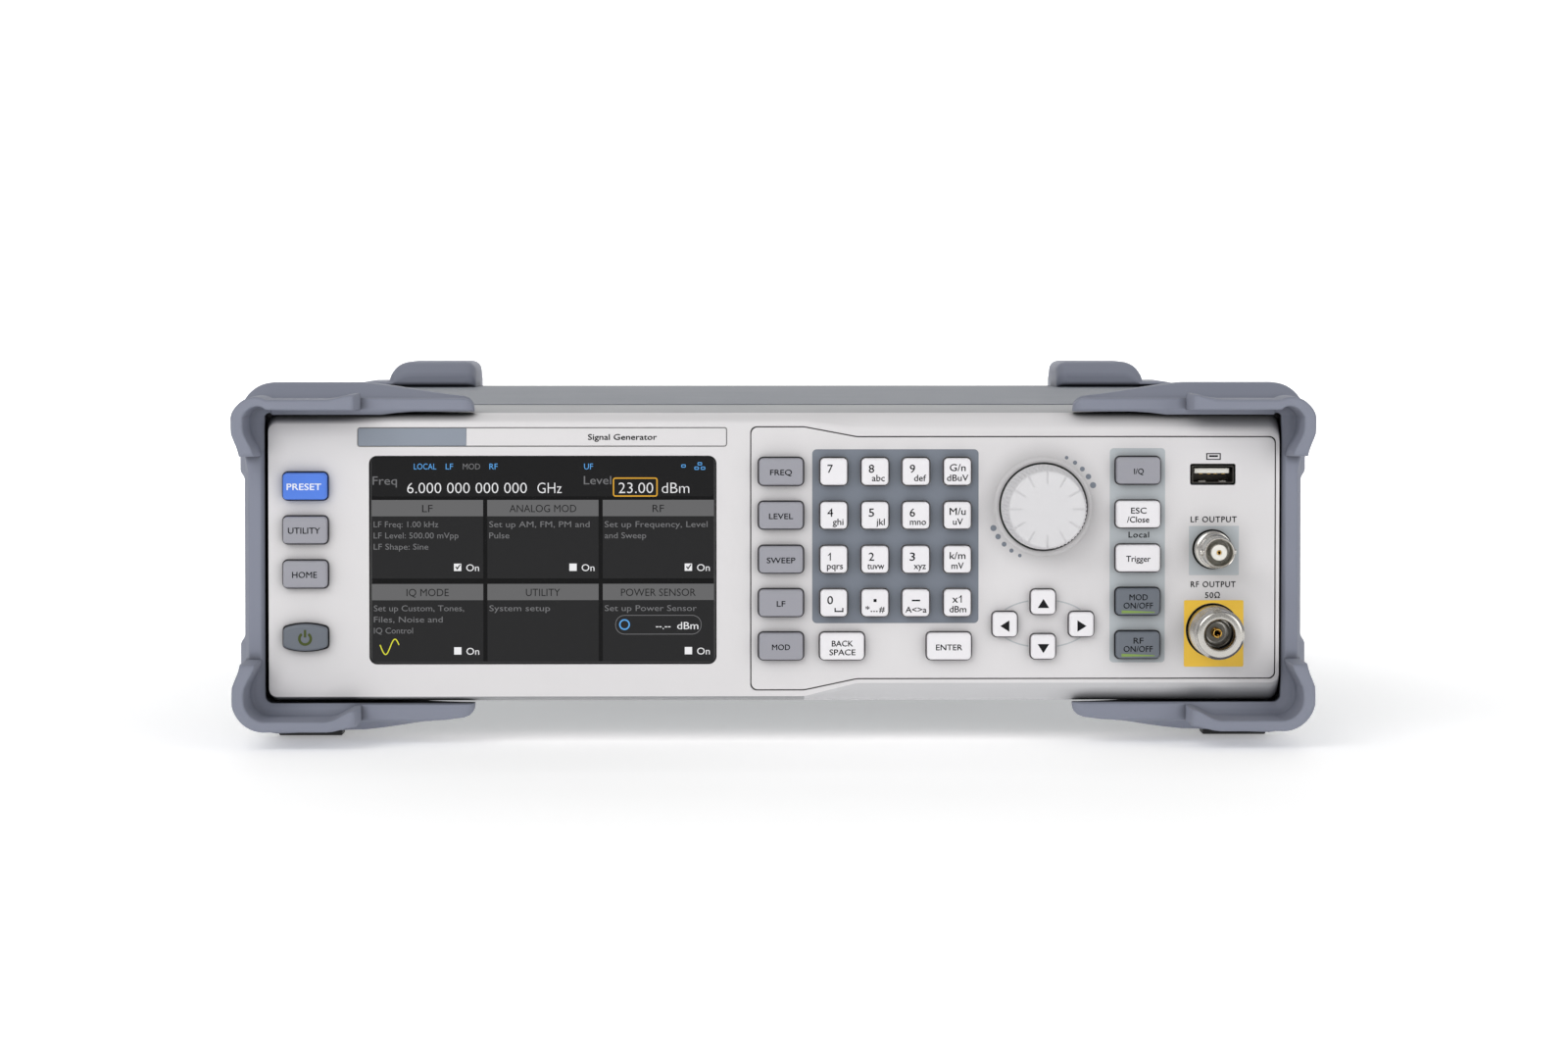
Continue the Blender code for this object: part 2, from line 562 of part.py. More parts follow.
# ------------------------------------------------------------------ case and rear
def make_covers():
    """Make the top cover, the bottom chassis with its leg hinges, and the rear panel."""
    start, end = SEAM_Y + GAP, REAR_Y
    side_low = 15.5 * MM
    inner = CASE_HALF - SHEET
    arch = [(-CASE_HALF, side_low), (-inner, side_low), (-inner, CASE_HIGH - SHEET),
            (inner, CASE_HIGH - SHEET), (inner, side_low), (CASE_HALF, side_low),
            (CASE_HALF, CASE_HIGH - 2 * MM), (CASE_HALF - 2 * MM, CASE_HIGH),
            (-CASE_HALF + 2 * MM, CASE_HIGH), (-CASE_HALF, CASE_HIGH - 2 * MM)]
    solid("top_cover", [slab(arch, start, end)], "cover_grey")
    flange = inner - GAP
    wall = flange - SHEET
    high = 34 * MM
    floor = CASE_LOW + SHEET
    tray = [(-flange, high), (-flange, CASE_LOW), (flange, CASE_LOW), (flange, high),
            (wall, high), (wall, floor), (-wall, floor), (-wall, high)]
    chassis = solid("bottom_chassis", [slab(tray, start, end - 4 * MM)], "plain_steel")
    hinge = []
    y, z = LEG_AXIS_Y, LEG_AXIS_Z
    root_y, root_z, neck_z = start + 0.5 * MM, CASE_LOW + 0.6 * MM, CASE_LOW - 0.6 * MM
    ear = [(root_y, root_z), (root_y, neck_z), (y - 4 * MM, neck_z), (y - 4 * MM, z),
           (y - 2.5 * MM, z - 3.6 * MM), (y + 2.5 * MM, z - 3.6 * MM), (y + 4 * MM, z),
           (y + 9 * MM, root_z)]
    for sign in (-1, 1):
        for edge in (-1, 1):
            inside = sign * LEG_X + edge * (LEG_WIDTH / 2 + GAP)
            hinge.append(slab(ear, inside, inside + edge * 2.5 * MM, "X"))
    apply_shape(chassis, hinge, "UNION")
    reach = LEG_WIDTH / 2 + 1.5 * MM
    pins = [slab(circle((y, z), PIN_RADIUS, 16), sign * LEG_X - reach, sign * LEG_X + reach, "X")
            for sign in (-1, 1)]
    apply_shape(chassis, pins, "UNION")
    centre = (0, (floor + CASE_HIGH - SHEET) / 2)
    size = (2 * (inner - GAP), CASE_HIGH - SHEET - floor - 2 * GAP)
    rear = solid("rear_panel", [slab(rectangle(centre, size, 1.5 * MM), REAR_Y - 3.4 * MM,
                                     REAR_Y - 1.4 * MM)], "plain_steel")
    near, far = REAR_Y - 5 * MM, REAR_Y
    apply_shape(rear, [slab(circle(FAN_AT, 27.5 * MM, 32), near, far),
                       slab(rectangle(INLET_AT, (28.4 * MM, 21.4 * MM), 2 * MM), near, far)],
                "DIFFERENCE")


def make_inlet():
    """Make the mains inlet with its flange, its hollow and three blades."""
    x, z = INLET_AT
    flange = rectangle(INLET_AT, (48 * MM, 26 * MM), 4 * MM)
    body = rectangle(INLET_AT, (27.6 * MM, 20.6 * MM), 2 * MM)
    front = REAR_Y - 1.4 * MM + 0.3 * MM
    rings = [lift(flange, front + 2.6 * MM), lift(flange, front), lift(body, front),
             lift(body, REAR_Y - 26 * MM)]
    inlet = solid("mains_inlet", [rings], "black_plastic")
    hollow = rectangle(INLET_AT, (24.4 * MM, 16.8 * MM), 3 * MM)
    apply_shape(inlet, [slab(hollow, front + 4 * MM, REAR_Y - 18 * MM)], "DIFFERENCE")
    blades = []
    for across, up in ((-7, -2), (0, 2), (7, -2)):
        blade = rectangle((x + across * MM, z + up * MM), (2 * MM, 4 * MM))
        blades.append(slab(blade, REAR_Y - 19 * MM, REAR_Y - 7 * MM))
    apply_shape(inlet, blades, "UNION")


def make_fan():
    """Make the cooling fan: a square frame with motor struts and a bladed rotor."""
    x, z = FAN_AT
    back = REAR_Y - 3.4 * MM - GAP
    front = back - FAN_DEPTH
    frame = solid("cooling_fan_frame", [slab(rectangle(FAN_AT, (FAN_SIZE, FAN_SIZE), 3 * MM),
                                             front, back)], "black_plastic")
    apply_shape(frame, [slab(circle(FAN_AT, FAN_BORE, 32), front - 1 * MM, back + 1 * MM)],
                "DIFFERENCE")
    strut = 2 * MM
    reach = FAN_BORE + 0.9 * MM
    cross = [(strut, strut), (strut, reach), (-strut, reach), (-strut, strut), (-reach, strut),
             (-reach, -strut), (-strut, -strut), (-strut, -reach), (strut, -reach),
             (strut, -strut), (reach, -strut), (reach, strut)]
    struts = slab([(x + u, z + v) for u, v in cross], front, front + 2 * MM)
    apply_shape(frame, [struts], "UNION")
    spindle = turned(FAN_AT, [(11 * MM, front), (11 * MM, front + 3 * MM)])
    apply_shape(frame, [spindle], "UNION")
    rotor_front, rotor_back = front + 4 * MM, back - 2 * MM
    hub = turned(FAN_AT, [(12 * MM, rotor_front), (12 * MM, rotor_back - 1 * MM),
                          (11 * MM, rotor_back)])
    rotor = solid("cooling_fan_rotor", [hub], "black_plastic")
    blades = [fan_blade(index * 2 * math.pi / 7, rotor_front + 1 * MM, rotor_back - 1 * MM)
              for index in range(7)]
    apply_shape(rotor, blades, "UNION")
    set_origin(rotor, (x, (rotor_front + rotor_back) / 2, z))


def fan_blade(start, near, far):
    """Return the rings of one twisted blade, from inside the hub outwards."""
    rings = []
    for radius, twist in ((11 * MM, 0.62), (19 * MM, 0.52), (27 * MM, 0.46)):
        half = 0.7 * MM
        ring = []
        for level, lead in ((near, -twist / 2), (far, twist / 2)):
            sides = ((-half, half) if level == near else (half, -half))
            for shift in sides:
                turn = start + lead
                ring.append((FAN_AT[0] + radius * math.cos(turn) - shift * math.sin(turn),
                             level, FAN_AT[1] + radius * math.sin(turn) + shift * math.cos(turn)))
        rings.append(ring)
    return rings


def make_boards():
    """Make the front key board, the main board and the power supply."""
    back = BOARD_FRONT + BOARD_THICK
    board = solid("key_board", [slab(rectangle((0, 59 * MM), (306 * MM, 78 * MM), 2 * MM),
                                     BOARD_FRONT, back)], "board_green")
    near, far = BOARD_FRONT - 1 * MM, back + 1 * MM
    apply_shape(board, [slab(rectangle(USB_AT, (14.4 * MM, 7 * MM), 0.5 * MM), near, far),
                        slab(circle(BNC_AT, 6.4 * MM), near, far),
                        slab(circle(N_AT, 8.6 * MM), near, far)], "DIFFERENCE")
    floor = CASE_LOW + SHEET
    base = rectangle((-40 * MM, 5 * MM), (200 * MM, 230 * MM), 2 * MM)
    main = solid("main_board", [slab(base, floor + 8 * MM, floor + 9.6 * MM, "Z")],
                 "board_green")
    posts = [slab(circle((-40 * MM + u * 90 * MM, 5 * MM + v * 105 * MM), 3 * MM, 8),
                  floor + GAP, floor + 8.5 * MM, "Z")
             for u in (-1, 1) for v in (-1, 1)]
    apply_shape(main, posts, "UNION")
    supply = rectangle((112 * MM, 5 * MM), (78 * MM, 170 * MM), 2 * MM)
    box = solid("power_supply", [slab(supply, floor + GAP, floor + 46 * MM, "Z")], "plain_steel")
    hollow = rectangle((112 * MM, 5 * MM), (75 * MM, 167 * MM), 1 * MM)
    apply_shape(box, [slab(hollow, floor + 3 * MM, floor + 47 * MM, "Z")], "DIFFERENCE")


def build():
    """Model every piece of the unit."""
    for existing in list(bpy.data.objects):
        bpy.data.objects.remove(existing, do_unlink=True)
    make_front_panel()
    make_control_plate()
    make_display()
    for name, centre, size, finish in key_layout():
        make_key(name, centre, size, finish)
    make_knob()
    make_usb()
    make_round_connectors()
    make_bumpers()
    make_legs()
    make_covers()
    make_inlet()
    make_fan()
    make_boards()


build()
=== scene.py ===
"""Looks of the bench RF signal generator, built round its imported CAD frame."""
import json
import math

import bmesh
import bpy
from mathutils import Matrix, Vector


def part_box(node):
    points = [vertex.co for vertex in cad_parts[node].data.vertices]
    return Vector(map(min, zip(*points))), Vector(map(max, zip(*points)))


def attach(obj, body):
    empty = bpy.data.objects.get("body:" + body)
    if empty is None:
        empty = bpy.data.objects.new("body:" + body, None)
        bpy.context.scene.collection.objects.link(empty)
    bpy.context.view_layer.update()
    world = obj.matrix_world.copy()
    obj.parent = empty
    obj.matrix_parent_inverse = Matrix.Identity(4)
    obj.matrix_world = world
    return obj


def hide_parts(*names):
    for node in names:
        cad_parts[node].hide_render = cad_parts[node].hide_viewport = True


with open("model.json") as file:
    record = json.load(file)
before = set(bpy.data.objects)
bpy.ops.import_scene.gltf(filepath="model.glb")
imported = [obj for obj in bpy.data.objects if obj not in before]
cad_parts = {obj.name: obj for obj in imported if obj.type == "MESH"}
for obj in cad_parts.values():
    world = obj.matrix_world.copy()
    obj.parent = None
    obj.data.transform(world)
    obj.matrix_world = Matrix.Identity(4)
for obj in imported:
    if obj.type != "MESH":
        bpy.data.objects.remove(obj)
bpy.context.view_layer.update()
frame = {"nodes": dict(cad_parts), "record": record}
MM = 0.001                      # lengths below are in millimetres, finished meshes in metres


def box(node):
    """Return the lowest and the highest corner of a CAD node."""
    return [[value / MM for value in corner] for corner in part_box(node)]


def box_centre(node):
    """Return the centre (x, z) of a node seen from the front."""
    low, high = box(node)
    return (low[0] + high[0]) / 2, (low[2] + high[2]) / 2


PLATE_LOW, PLATE_HIGH = box("control_plate")
DISPLAY_LOW, DISPLAY_HIGH = box("display_module")
DISPLAY_AT = box_centre("display_module")
FACE = PLATE_LOW[1] + 0.9       # plane of the front panel
SEAM = box("front_panel")[1][1]                     # where panel and case meet
REAR = box("top_cover")[1][1]                       # rear end of the cover
CASE_LOW = box("front_panel")[0][2]
CASE_HIGH, CASE_HALF = box("top_cover")[1][2], box("top_cover")[1][0]
CLEAR = 0.28                    # gap round inset pieces
PRINT = 0.03                    # thickness of a printed layer


# ------------------------------------------------------------------- materials
def srgb(shade):
    """Turn an 8-bit display colour into the linear colour that shaders take."""
    levels = [value / 255 for value in shade]
    return [level / 12.92 if level < 0.04045 else ((level + 0.055) / 1.055) ** 2.4
            for level in levels]


def surface(name, slot, shade, roughness=0.5, metallic=0.0, grain=0.35, depth=0.03, vary=0.04,
            coat=0.0, rough_vary=0.08, glow=0.0, streak=(1, 1, 1), specular=0.5, painted_shade_reach=0.0):
    """Make a finish with a fine grain, faint colour drift and uneven gloss.

    Grain is the size of the texture and depth its height. Streak stretches the grain along
    one axis, as brushing does. Painted shade reach is the distance over which nearby shapes
    darken the colour: painted shade in creases, corners and recesses.
    """
    made = bpy.data.materials.new(name)
    made.use_nodes = True
    nodes, links = made.node_tree.nodes, made.node_tree.links

    def feed(node, inputs):
        for key, value in inputs.items():
            if isinstance(value, bpy.types.NodeSocket):
                links.new(value, node.inputs[key])
            else:
                node.inputs[key].default_value = value

    def add(kind, inputs, output, **settings):
        node = nodes.new("ShaderNode" + kind)
        for key, value in settings.items():
            setattr(node, key, value)
        feed(node, inputs)
        return node.outputs[output]

    place = add("TexCoord", {}, "Object")
    place = add("Mapping", {"Vector": place, "Scale": streak}, "Vector")
    fine, broad = [add("TexNoise", {"Vector": place, "Scale": 1 / (size * MM), "Detail": detail},
                       "Fac") for size, detail in ((grain, 4), (grain * 60, 3))]
    half_fine = add("Math", {0: fine, 1: 0.5}, 0, operation="MULTIPLY")
    blend = add("Math", {0: broad, 1: 0.5, 2: half_fine}, 0, operation="MULTIPLY_ADD")
    dark, light = [[min(1, level * (1 + drift)) for level in srgb(shade)] + [1]
                   for drift in (-vary, vary)]
    tint = add("Mix", {"Factor": blend, "A": dark, "B": light}, "Result", data_type="RGBA")
    gloss = add("MapRange", {"Value": blend, "To Min": max(0.02, roughness - rough_vary),
                             "To Max": min(1, roughness + rough_vary)}, "Result")
    # painted shade: an ambient occlusion node darkens the base colour near other shapes
    base = add("AmbientOcclusion", {"Color": tint, "Distance": painted_shade_reach * MM},
               "Color") if painted_shade_reach else tint
    inputs = {"Base Color": base, "Roughness": gloss, "Metallic": metallic,
              "Coat Weight": coat, "Coat Roughness": 0.12, "Specular IOR Level": specular}
    if depth:
        inputs["Normal"] = add("Bump", {"Height": fine, "Distance": depth * MM, "Strength": 1},
                               "Normal")
    if glow:
        inputs.update({"Emission Color": tint, "Emission Strength": glow})
    feed(nodes["Principled BSDF"], inputs)
    return made


def lit(name, *shade):
    """Make a finish for lit display pixels under gloss."""
    made = surface(name, "glass_black", (8, 8, 8), 0.2, grain=0.5, depth=0, vary=0.1,
                   rough_vary=0.03, specular=0.12)
    shader = made.node_tree.nodes["Principled BSDF"]
    shader.inputs["Emission Color"].default_value = srgb(shade) + [1]
    shader.inputs["Emission Strength"].default_value = 1
    return made


# painted shade: moulded finishes darken their colour within 9 mm of nearby shapes, as under the
# bumper lips
MOULDED = {"grain": 0.3, "depth": 0.02, "vary": 0.015, "painted_shade_reach": 9}
PANEL = surface("panel_moulding", "panel_grey", (221, 219, 220), 0.48, **MOULDED)
# painted shade: darker copies of the panel moulding for the flange top and the downward-facing
# bevel
FLANGE_SHADE = surface("flange_painted_shade", "panel_grey", (157, 158, 160), 0.5, specular=0.2, **MOULDED)
SLOPE_SHADE = surface("panel_slope_painted_shade", "panel_grey", (196, 196, 198), 0.48, **MOULDED)
KNOB = surface("knob_moulding", "panel_grey", (216, 215, 217), 0.45, grain=0.3, depth=0.012,
               vary=0.012)
# painted shade: the bumper colour darkens within 3 mm of nearby shapes, as where the rear feet
# meet the cover
BUMPER = surface("bumper_moulding", "bumper_grey", (132, 136, 150), 0.62, depth=0.035, vary=0.03,
                 specular=0.35, painted_shade_reach=3)
COVER = surface("cover_paint", "cover_grey", (107, 112, 121), 0.55, grain=0.5, depth=0.05,
                vary=0.02, specular=0.15)
KEY_FINISHES = {name: surface(name, name, shade, roughness, depth=0.008, vary=vary)
                for name, shade, roughness, vary in (
                    ("key_white", (236, 234, 237), 0.4, 0.01),
                    ("key_grey", (155, 155, 163), 0.42, 0.015),
                    ("key_dark", (104, 110, 119), 0.45, 0.02),
                    ("key_blue", (78, 126, 225), 0.4, 0.02))}
# painted shade: the printed patches darken within 5 mm of nearby shapes, round the keys
PATCH = {"depth": 0.006, "vary": 0.015, "painted_shade_reach": 5}
PATCH_BLUE = surface("patch_blue_grey", "cover_grey", (120, 127, 138), 0.55, **PATCH)
PATCH_PALE = surface("patch_pale_grey", "cover_grey", (184, 190, 194), 0.55, **PATCH)
PATCH_YELLOW = surface("patch_yellow", "cover_grey", (240, 195, 60), depth=0.006, vary=0.03)
NAME_GREY = surface("nameplate_grey", "cover_grey", (138, 146, 158), 0.4, depth=0.01, vary=0.03)
INK = surface("legend_ink", "black_plastic", (16, 16, 20), 0.6, depth=0, vary=0.05, specular=0.2)
INK_WHITE = surface("legend_white", "black_plastic", (235, 238, 245), depth=0, vary=0.02)
BLACK = surface("black_moulding", "black_plastic", (26, 26, 28), grain=0.4, vary=0.1)
BLACK_GLOSS = surface("display_glass", "glass_black", (12, 12, 13), 0.12, grain=0.8, depth=0,
                      vary=0.1, coat=0.5, rough_vary=0.03)
NICKEL = surface("nickel_plate", "bright_metal", (205, 202, 196), 0.24, 1.0, grain=0.25,
                 depth=0.004, vary=0.06)
# partly painted shade: the metal is darker than bare plating so the N socket's bore sleeve and
# the USB shell read as shaded
DARK_METAL = surface("shaded_metal", "bright_metal", (86, 84, 80), 0.38, 1.0, grain=0.3,
                     depth=0.006, vary=0.1)
GOLD = surface("gold_plate", "bright_metal", (226, 180, 92), 0.22, 1.0, grain=0.3, depth=0.003,
               vary=0.06)
PTFE = surface("white_insulator", "key_white", (232, 230, 222), 0.45, grain=0.4, depth=0.01,
               vary=0.03)
STEEL = surface("zinc_steel", "plain_steel", (186, 189, 191), 0.36, 1.0, grain=0.2, depth=0.006,
                vary=0.07, streak=(1, 0.06, 1))
BOARD = surface("board_mask", None, (34, 92, 56), 0.4, grain=0.6, depth=0.01, vary=0.12)
LED_GREEN = surface("key_light", "key_white", (124, 152, 74), 0.35, depth=0, vary=0.08, glow=0.04)
POWER_INK = surface("power_mark", "key_dark", (70, 80, 34), depth=0, vary=0.08, specular=0.2)

for node, finish in {"encoder_body": STEEL, "encoder_shaft": STEEL, "power_supply": STEEL,
                     "key_board": BOARD, "main_board": BOARD, "cooling_fan_rotor": BLACK,
                     "cooling_fan_frame": BLACK}.items():
    for slot in frame["nodes"][node].material_slots:
        slot.material = finish


# --------------------------------------------------------------------- outlines
def rounded(corners, radii, steps=6):
    """Return a polygon's points with its corners eased by one radius or one each."""
    points = []
    for index, corner in enumerate(corners):
        radius = radii[index] if isinstance(radii, (list, tuple)) else radii
        here = Vector(corner)
        before = Vector(corners[index - 1]) - here
        after = Vector(corners[(index + 1) % len(corners)]) - here
        half = before.angle(after) / 2
        reach = min(radius / math.tan(half), before.length * 0.49, after.length * 0.49)
        radius = reach * math.tan(half)
        if reach < 1e-4 or half > 1.5607:           # too small, or all but straight
            points.extend([tuple(here)] * (steps + 1))
            continue
        before.normalize()
        after.normalize()
        centre = here + (before + after).normalized() * radius / math.sin(half)
        start, end = here + before * reach - centre, here + after * reach - centre
        sweep = math.pi - 2 * half
        for step in range(steps + 1):
            share = step / steps
            spoke = (start * math.sin((1 - share) * sweep)
                     + end * math.sin(share * sweep)) / math.sin(sweep)
            points.append(tuple(centre + spoke))
    return points


def rectangle(x, z, width, height, radius=0.0, steps=6):
    """Return the outline of an upright rectangle, with rounded corners."""
    corners = [(x + side * width / 2, z + up * height / 2)
               for side, up in ((-1, -1), (1, -1), (1, 1), (-1, 1))]
    return rounded(corners, radius, steps) if radius else corners


def circle(x, z, radius, steps=48):
    """Return the points of a circle."""
    turns = [2 * math.pi * step / steps for step in range(steps)]
    return [(x + radius * math.cos(turn), z + radius * math.sin(turn)) for turn in turns]


def shifted(points, x, z):
    """Move the points of an outline."""
    return [(x + u, z + v) for u, v in points]


def lift(outline, level, axis="Y"):
    """Place a flat outline at a level along one axis."""
    at = "XYZ".index(axis)
    return [(*point[:at], level, *point[at:]) for point in outline]


def slab(outline, near, far, axis="Y"):
    """Return the rings of a straight extrusion."""
    return [lift(outline, near, axis), lift(outline, far, axis)]


def turned(centre, profile, steps=48, base=FACE):
    """Return rings turned about a line along Y, from (radius, distance behind base) pairs."""
    return [lift(circle(*centre, radius, steps), base + y) for radius, y in profile]


# ------------------------------------------------------------- parts and pieces
def add_rings(mesh, rings, looped=False):
    """Add a skin through rings of equal length, capped or closed on itself."""
    rows = [[mesh.verts.new([part * MM for part in point]) for point in ring] for ring in rings]
    for low, high in zip(rows, rows[1:] + rows[:1] if looped else rows[1:]):
        for index in range(len(low)):
            follow = (index + 1) % len(low)
            mesh.faces.new((low[index], low[follow], high[follow], high[index]))
    if not looped:
        mesh.faces.new(rows[0][::-1])
        mesh.faces.new(rows[-1])


def loop(rings):
    """Return a part whose skin runs through rings and closes on itself."""
    return lambda mesh: add_rings(mesh, rings, True)


def band(outer, inner, near, far):
    """Return a part between two outlines of equal length and two levels."""
    return loop([lift(inner, near), lift(inner, far), lift(outer, far), lift(outer, near)])


def curve_mesh(curve, matrix):
    """Return the mesh that a curve or text makes, and remove the curve."""
    holder = bpy.data.objects.new("tool", curve)
    bpy.context.scene.collection.objects.link(holder)
    bpy.context.view_layer.update()
    graph = bpy.context.evaluated_depsgraph_get()
    data = bpy.data.meshes.new_from_object(holder.evaluated_get(graph))
    data.transform(matrix)
    bpy.data.objects.remove(holder)
    bpy.data.curves.remove(curve)
    return data


def add_data(mesh, data):
    """Move mesh data into a mesh under construction."""
    mesh.from_mesh(data)
    bpy.data.meshes.remove(data)


def facing(x, level, z, back=False):
    """Return the placing that stands a flat drawing up at a point, facing front or back."""
    return (Matrix.Translation(Vector((x, level, z)) * MM)
            @ Matrix.Rotation(math.pi if back else 0, 4, "Z")
            @ Matrix.Rotation(math.pi / 2, 4, "X"))


def sheet(outlines, front, thick, edge=0.0):
    """Return a flat plate with holes, its front at a level, with rounded rims."""
    def add(mesh):
        curve = bpy.data.curves.new("plate", "CURVE")
        curve.dimensions = "2D"
        curve.fill_mode = "BOTH"
        curve.extrude = (thick / 2 - edge) * MM
        curve.bevel_depth = edge * MM
        curve.bevel_resolution = 2
        curve.offset = -edge * MM
        for outline in outlines:
            spline = curve.splines.new("POLY")
            spline.points.add(len(outline) - 1)
            for point, (u, v) in zip(spline.points, outline):
                point.co = (u * MM, v * MM, 0, 1)
            spline.use_cyclic_u = True
        add_data(mesh, curve_mesh(curve, facing(0, front + thick / 2, 0)))
    return add


def text(words, size, x, z, level, span=None, bold=0.0, thin=0.0, track=1.0, back=False):
    """Return raised lettering of a cap height about a point, drawn out to a span."""
    def add(mesh):
        curve = bpy.data.curves.new("text", "FONT")
        curve.body = words
        curve.size = size * MM / 0.7
        curve.align_x = "CENTER"
        curve.extrude = PRINT / 2 * MM
        curve.offset = -thin * MM
        curve.space_character = track
        curve.resolution_u = 3
        data = curve_mesh(curve, Matrix.Translation((0, -size / 2 * MM, 0)))
        if span:
            low, high = (pick(vertex.co.x for vertex in data.vertices) for pick in (min, max))
            data.transform(Matrix.Diagonal((span * MM / (high - low), 1, 1, 1))
                           @ Matrix.Translation((-(low + high) / 2, 0, 0)))
        placing = facing(x, level + (PRINT / 2 if back else -PRINT / 2), z, back)
        for side in (-1, 1) if bold else (0,):      # two copies make a heavier stroke
            copy = data.copy()
            shift = side * bold / 2 * MM
            copy.transform(placing @ Matrix.Translation((shift, shift, side * PRINT / 12 * MM)))
            add_data(mesh, copy)
        bpy.data.meshes.remove(data)
    return add


def shade(data, sharp=32, flat=True):
    """Shade a mesh smooth up to an angle, and keep faces square to an axis flat."""
    data.shade_smooth()
    data.set_sharp_from_angle(angle=math.radians(sharp))
    for face in data.polygons if flat else ():
        if max(abs(part) for part in face.normal) > 0.99999:
            face.use_smooth = False


def solid(name, parts, weld=True):
    """Return a new object made of parts; a part is a list of rings or adds itself."""
    mesh = bmesh.new()
    for part in parts:
        part(mesh) if callable(part) else add_rings(mesh, part)
    if weld:
        bmesh.ops.remove_doubles(mesh, verts=mesh.verts, dist=2e-7)
    bmesh.ops.recalc_face_normals(mesh, faces=mesh.faces)
    data = bpy.data.meshes.new(name)
    mesh.to_mesh(data)
    mesh.free()
    made = bpy.data.objects.new(name, data)
    bpy.context.scene.collection.objects.link(made)
    return made


def piece(name, finish, *parts, body="root", slot=None, stands_for=(), sharp=32):
    """Turn parts into a piece that rides on a body."""
    made = solid(name, parts)
    made.data.materials.append(finish)
    shade(made.data, sharp)
    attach(made, body)
    if stands_for:
        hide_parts(*stands_for)
    return made


def apply_modifiers(target):
    """Replace a piece's mesh by its evaluated one."""
    graph = bpy.context.evaluated_depsgraph_get()
    data, old = bpy.data.meshes.new_from_object(target.evaluated_get(graph)), target.data
    target.modifiers.clear()
    target.data = data
    bpy.data.meshes.remove(old)


def cut(target, bodies, operation="DIFFERENCE"):
    """Cut solids from a piece, or join them to it, and leave plain mesh behind."""
    tool = solid("tool", bodies, weld=False)
    change = target.modifiers.new("Shape", "BOOLEAN")
    change.operation = operation
    change.solver = "EXACT"
    change.object = tool
    apply_modifiers(target)
    bpy.data.objects.remove(tool)


# ------------------------------------------------------------------ front panel
STEP_START, STEP_END = 9.5, 26.0                    # the face narrows between these
NAME_AT, NAME_SIZE = (-72.45, 96.6), (115.5, 6.0)   # nameplate strip above the display
NAME_SPLIT = -96.2                                  # where its grey part ends
BEVEL = 5                                           # depth of the panel's sloping edge
KNOB_AT = box_centre("tuning_knob")
USB_AT = box_centre("usb_socket")
BNC_AT = box_centre("lf_output_connector")
N_AT = box_centre("rf_output_connector")


def stepped(left, right, tall, short, *radii):
    """Return an outline taller left of the step than right; radii run in from the ends."""
    corners = [(left, tall[0]), (STEP_START, tall[0]), (STEP_END, short[0]), (right, short[0]),
               (right, short[1]), (STEP_END, short[1]), (STEP_START, tall[1]), (left, tall[1])]
    left_end, step, right_end = radii if len(radii) == 3 else radii * 3
    half = [left_end, step, step, right_end]
    return rounded(corners, half + half[::-1])


def plate_outline(grow=0.0):
    """Return the outline of the control plate, grown outwards."""
    low, high = PLATE_LOW[2] - grow, PLATE_HIGH[2] + grow
    return stepped(PLATE_LOW[0] - grow, PLATE_HIGH[0] + grow, (low, high),
                   (low + 3.5, high - 3.1), 2, 8, 2)


def key_box(node):
    """Return a key's centre (x, z) and its size above the panel, from the CAD."""
    low, high = box(node)
    rim = 2
    return (*box_centre(node), high[0] - low[0] - rim, high[2] - low[2] - rim)


def key_outline(node, grow=0.0):
    """Return a key's outline; the power key's long sides bulge."""
    x, z, width, height = key_box(node)
    width, height = width + 2 * grow, height + 2 * grow
    if node != "key_power":
        return rectangle(x, z, width, height, 1.3 + grow)
    bulge = 1.2                                     # from the ends to the middle
    corners = [(x + sign * (step / 4 - 1) * width / 2,
                z + sign * (height / 2 - bulge * (step / 4 - 1) ** 2))
               for sign in (-1, 1) for step in range(9)]
    ends = (0, 8, 9, 17)
    return rounded(corners, [1.2 if index in ends else 0.5 for index in range(18)], 3)


KEYS = [node for node in frame["nodes"] if node.startswith("key_") and node != "key_board"]
LEFT_KEYS = [node for node in KEYS if key_box(node)[0] < DISPLAY_AT[0]]
PLATE_KEYS = [node for node in KEYS if node not in LEFT_KEYS]


def flared(outline, far):
    """Return a cutter whose mouth at the panel's face opens in a small round rim."""
    return [lift(outline(grow), level) for grow, level in
            ((0.22, FACE - 1), (0.22, FACE), (0.1, FACE + 0.04), (0.03, FACE + 0.11),
             (0.0, FACE + 0.22), (0.0, far))]


def flared_box(at, width, height, radius, far):
    """Return a flared cutter with a rectangular mouth."""
    return flared(lambda grow: rectangle(*at, width + 2 * grow, height + 2 * grow,
                                         radius + grow), far)


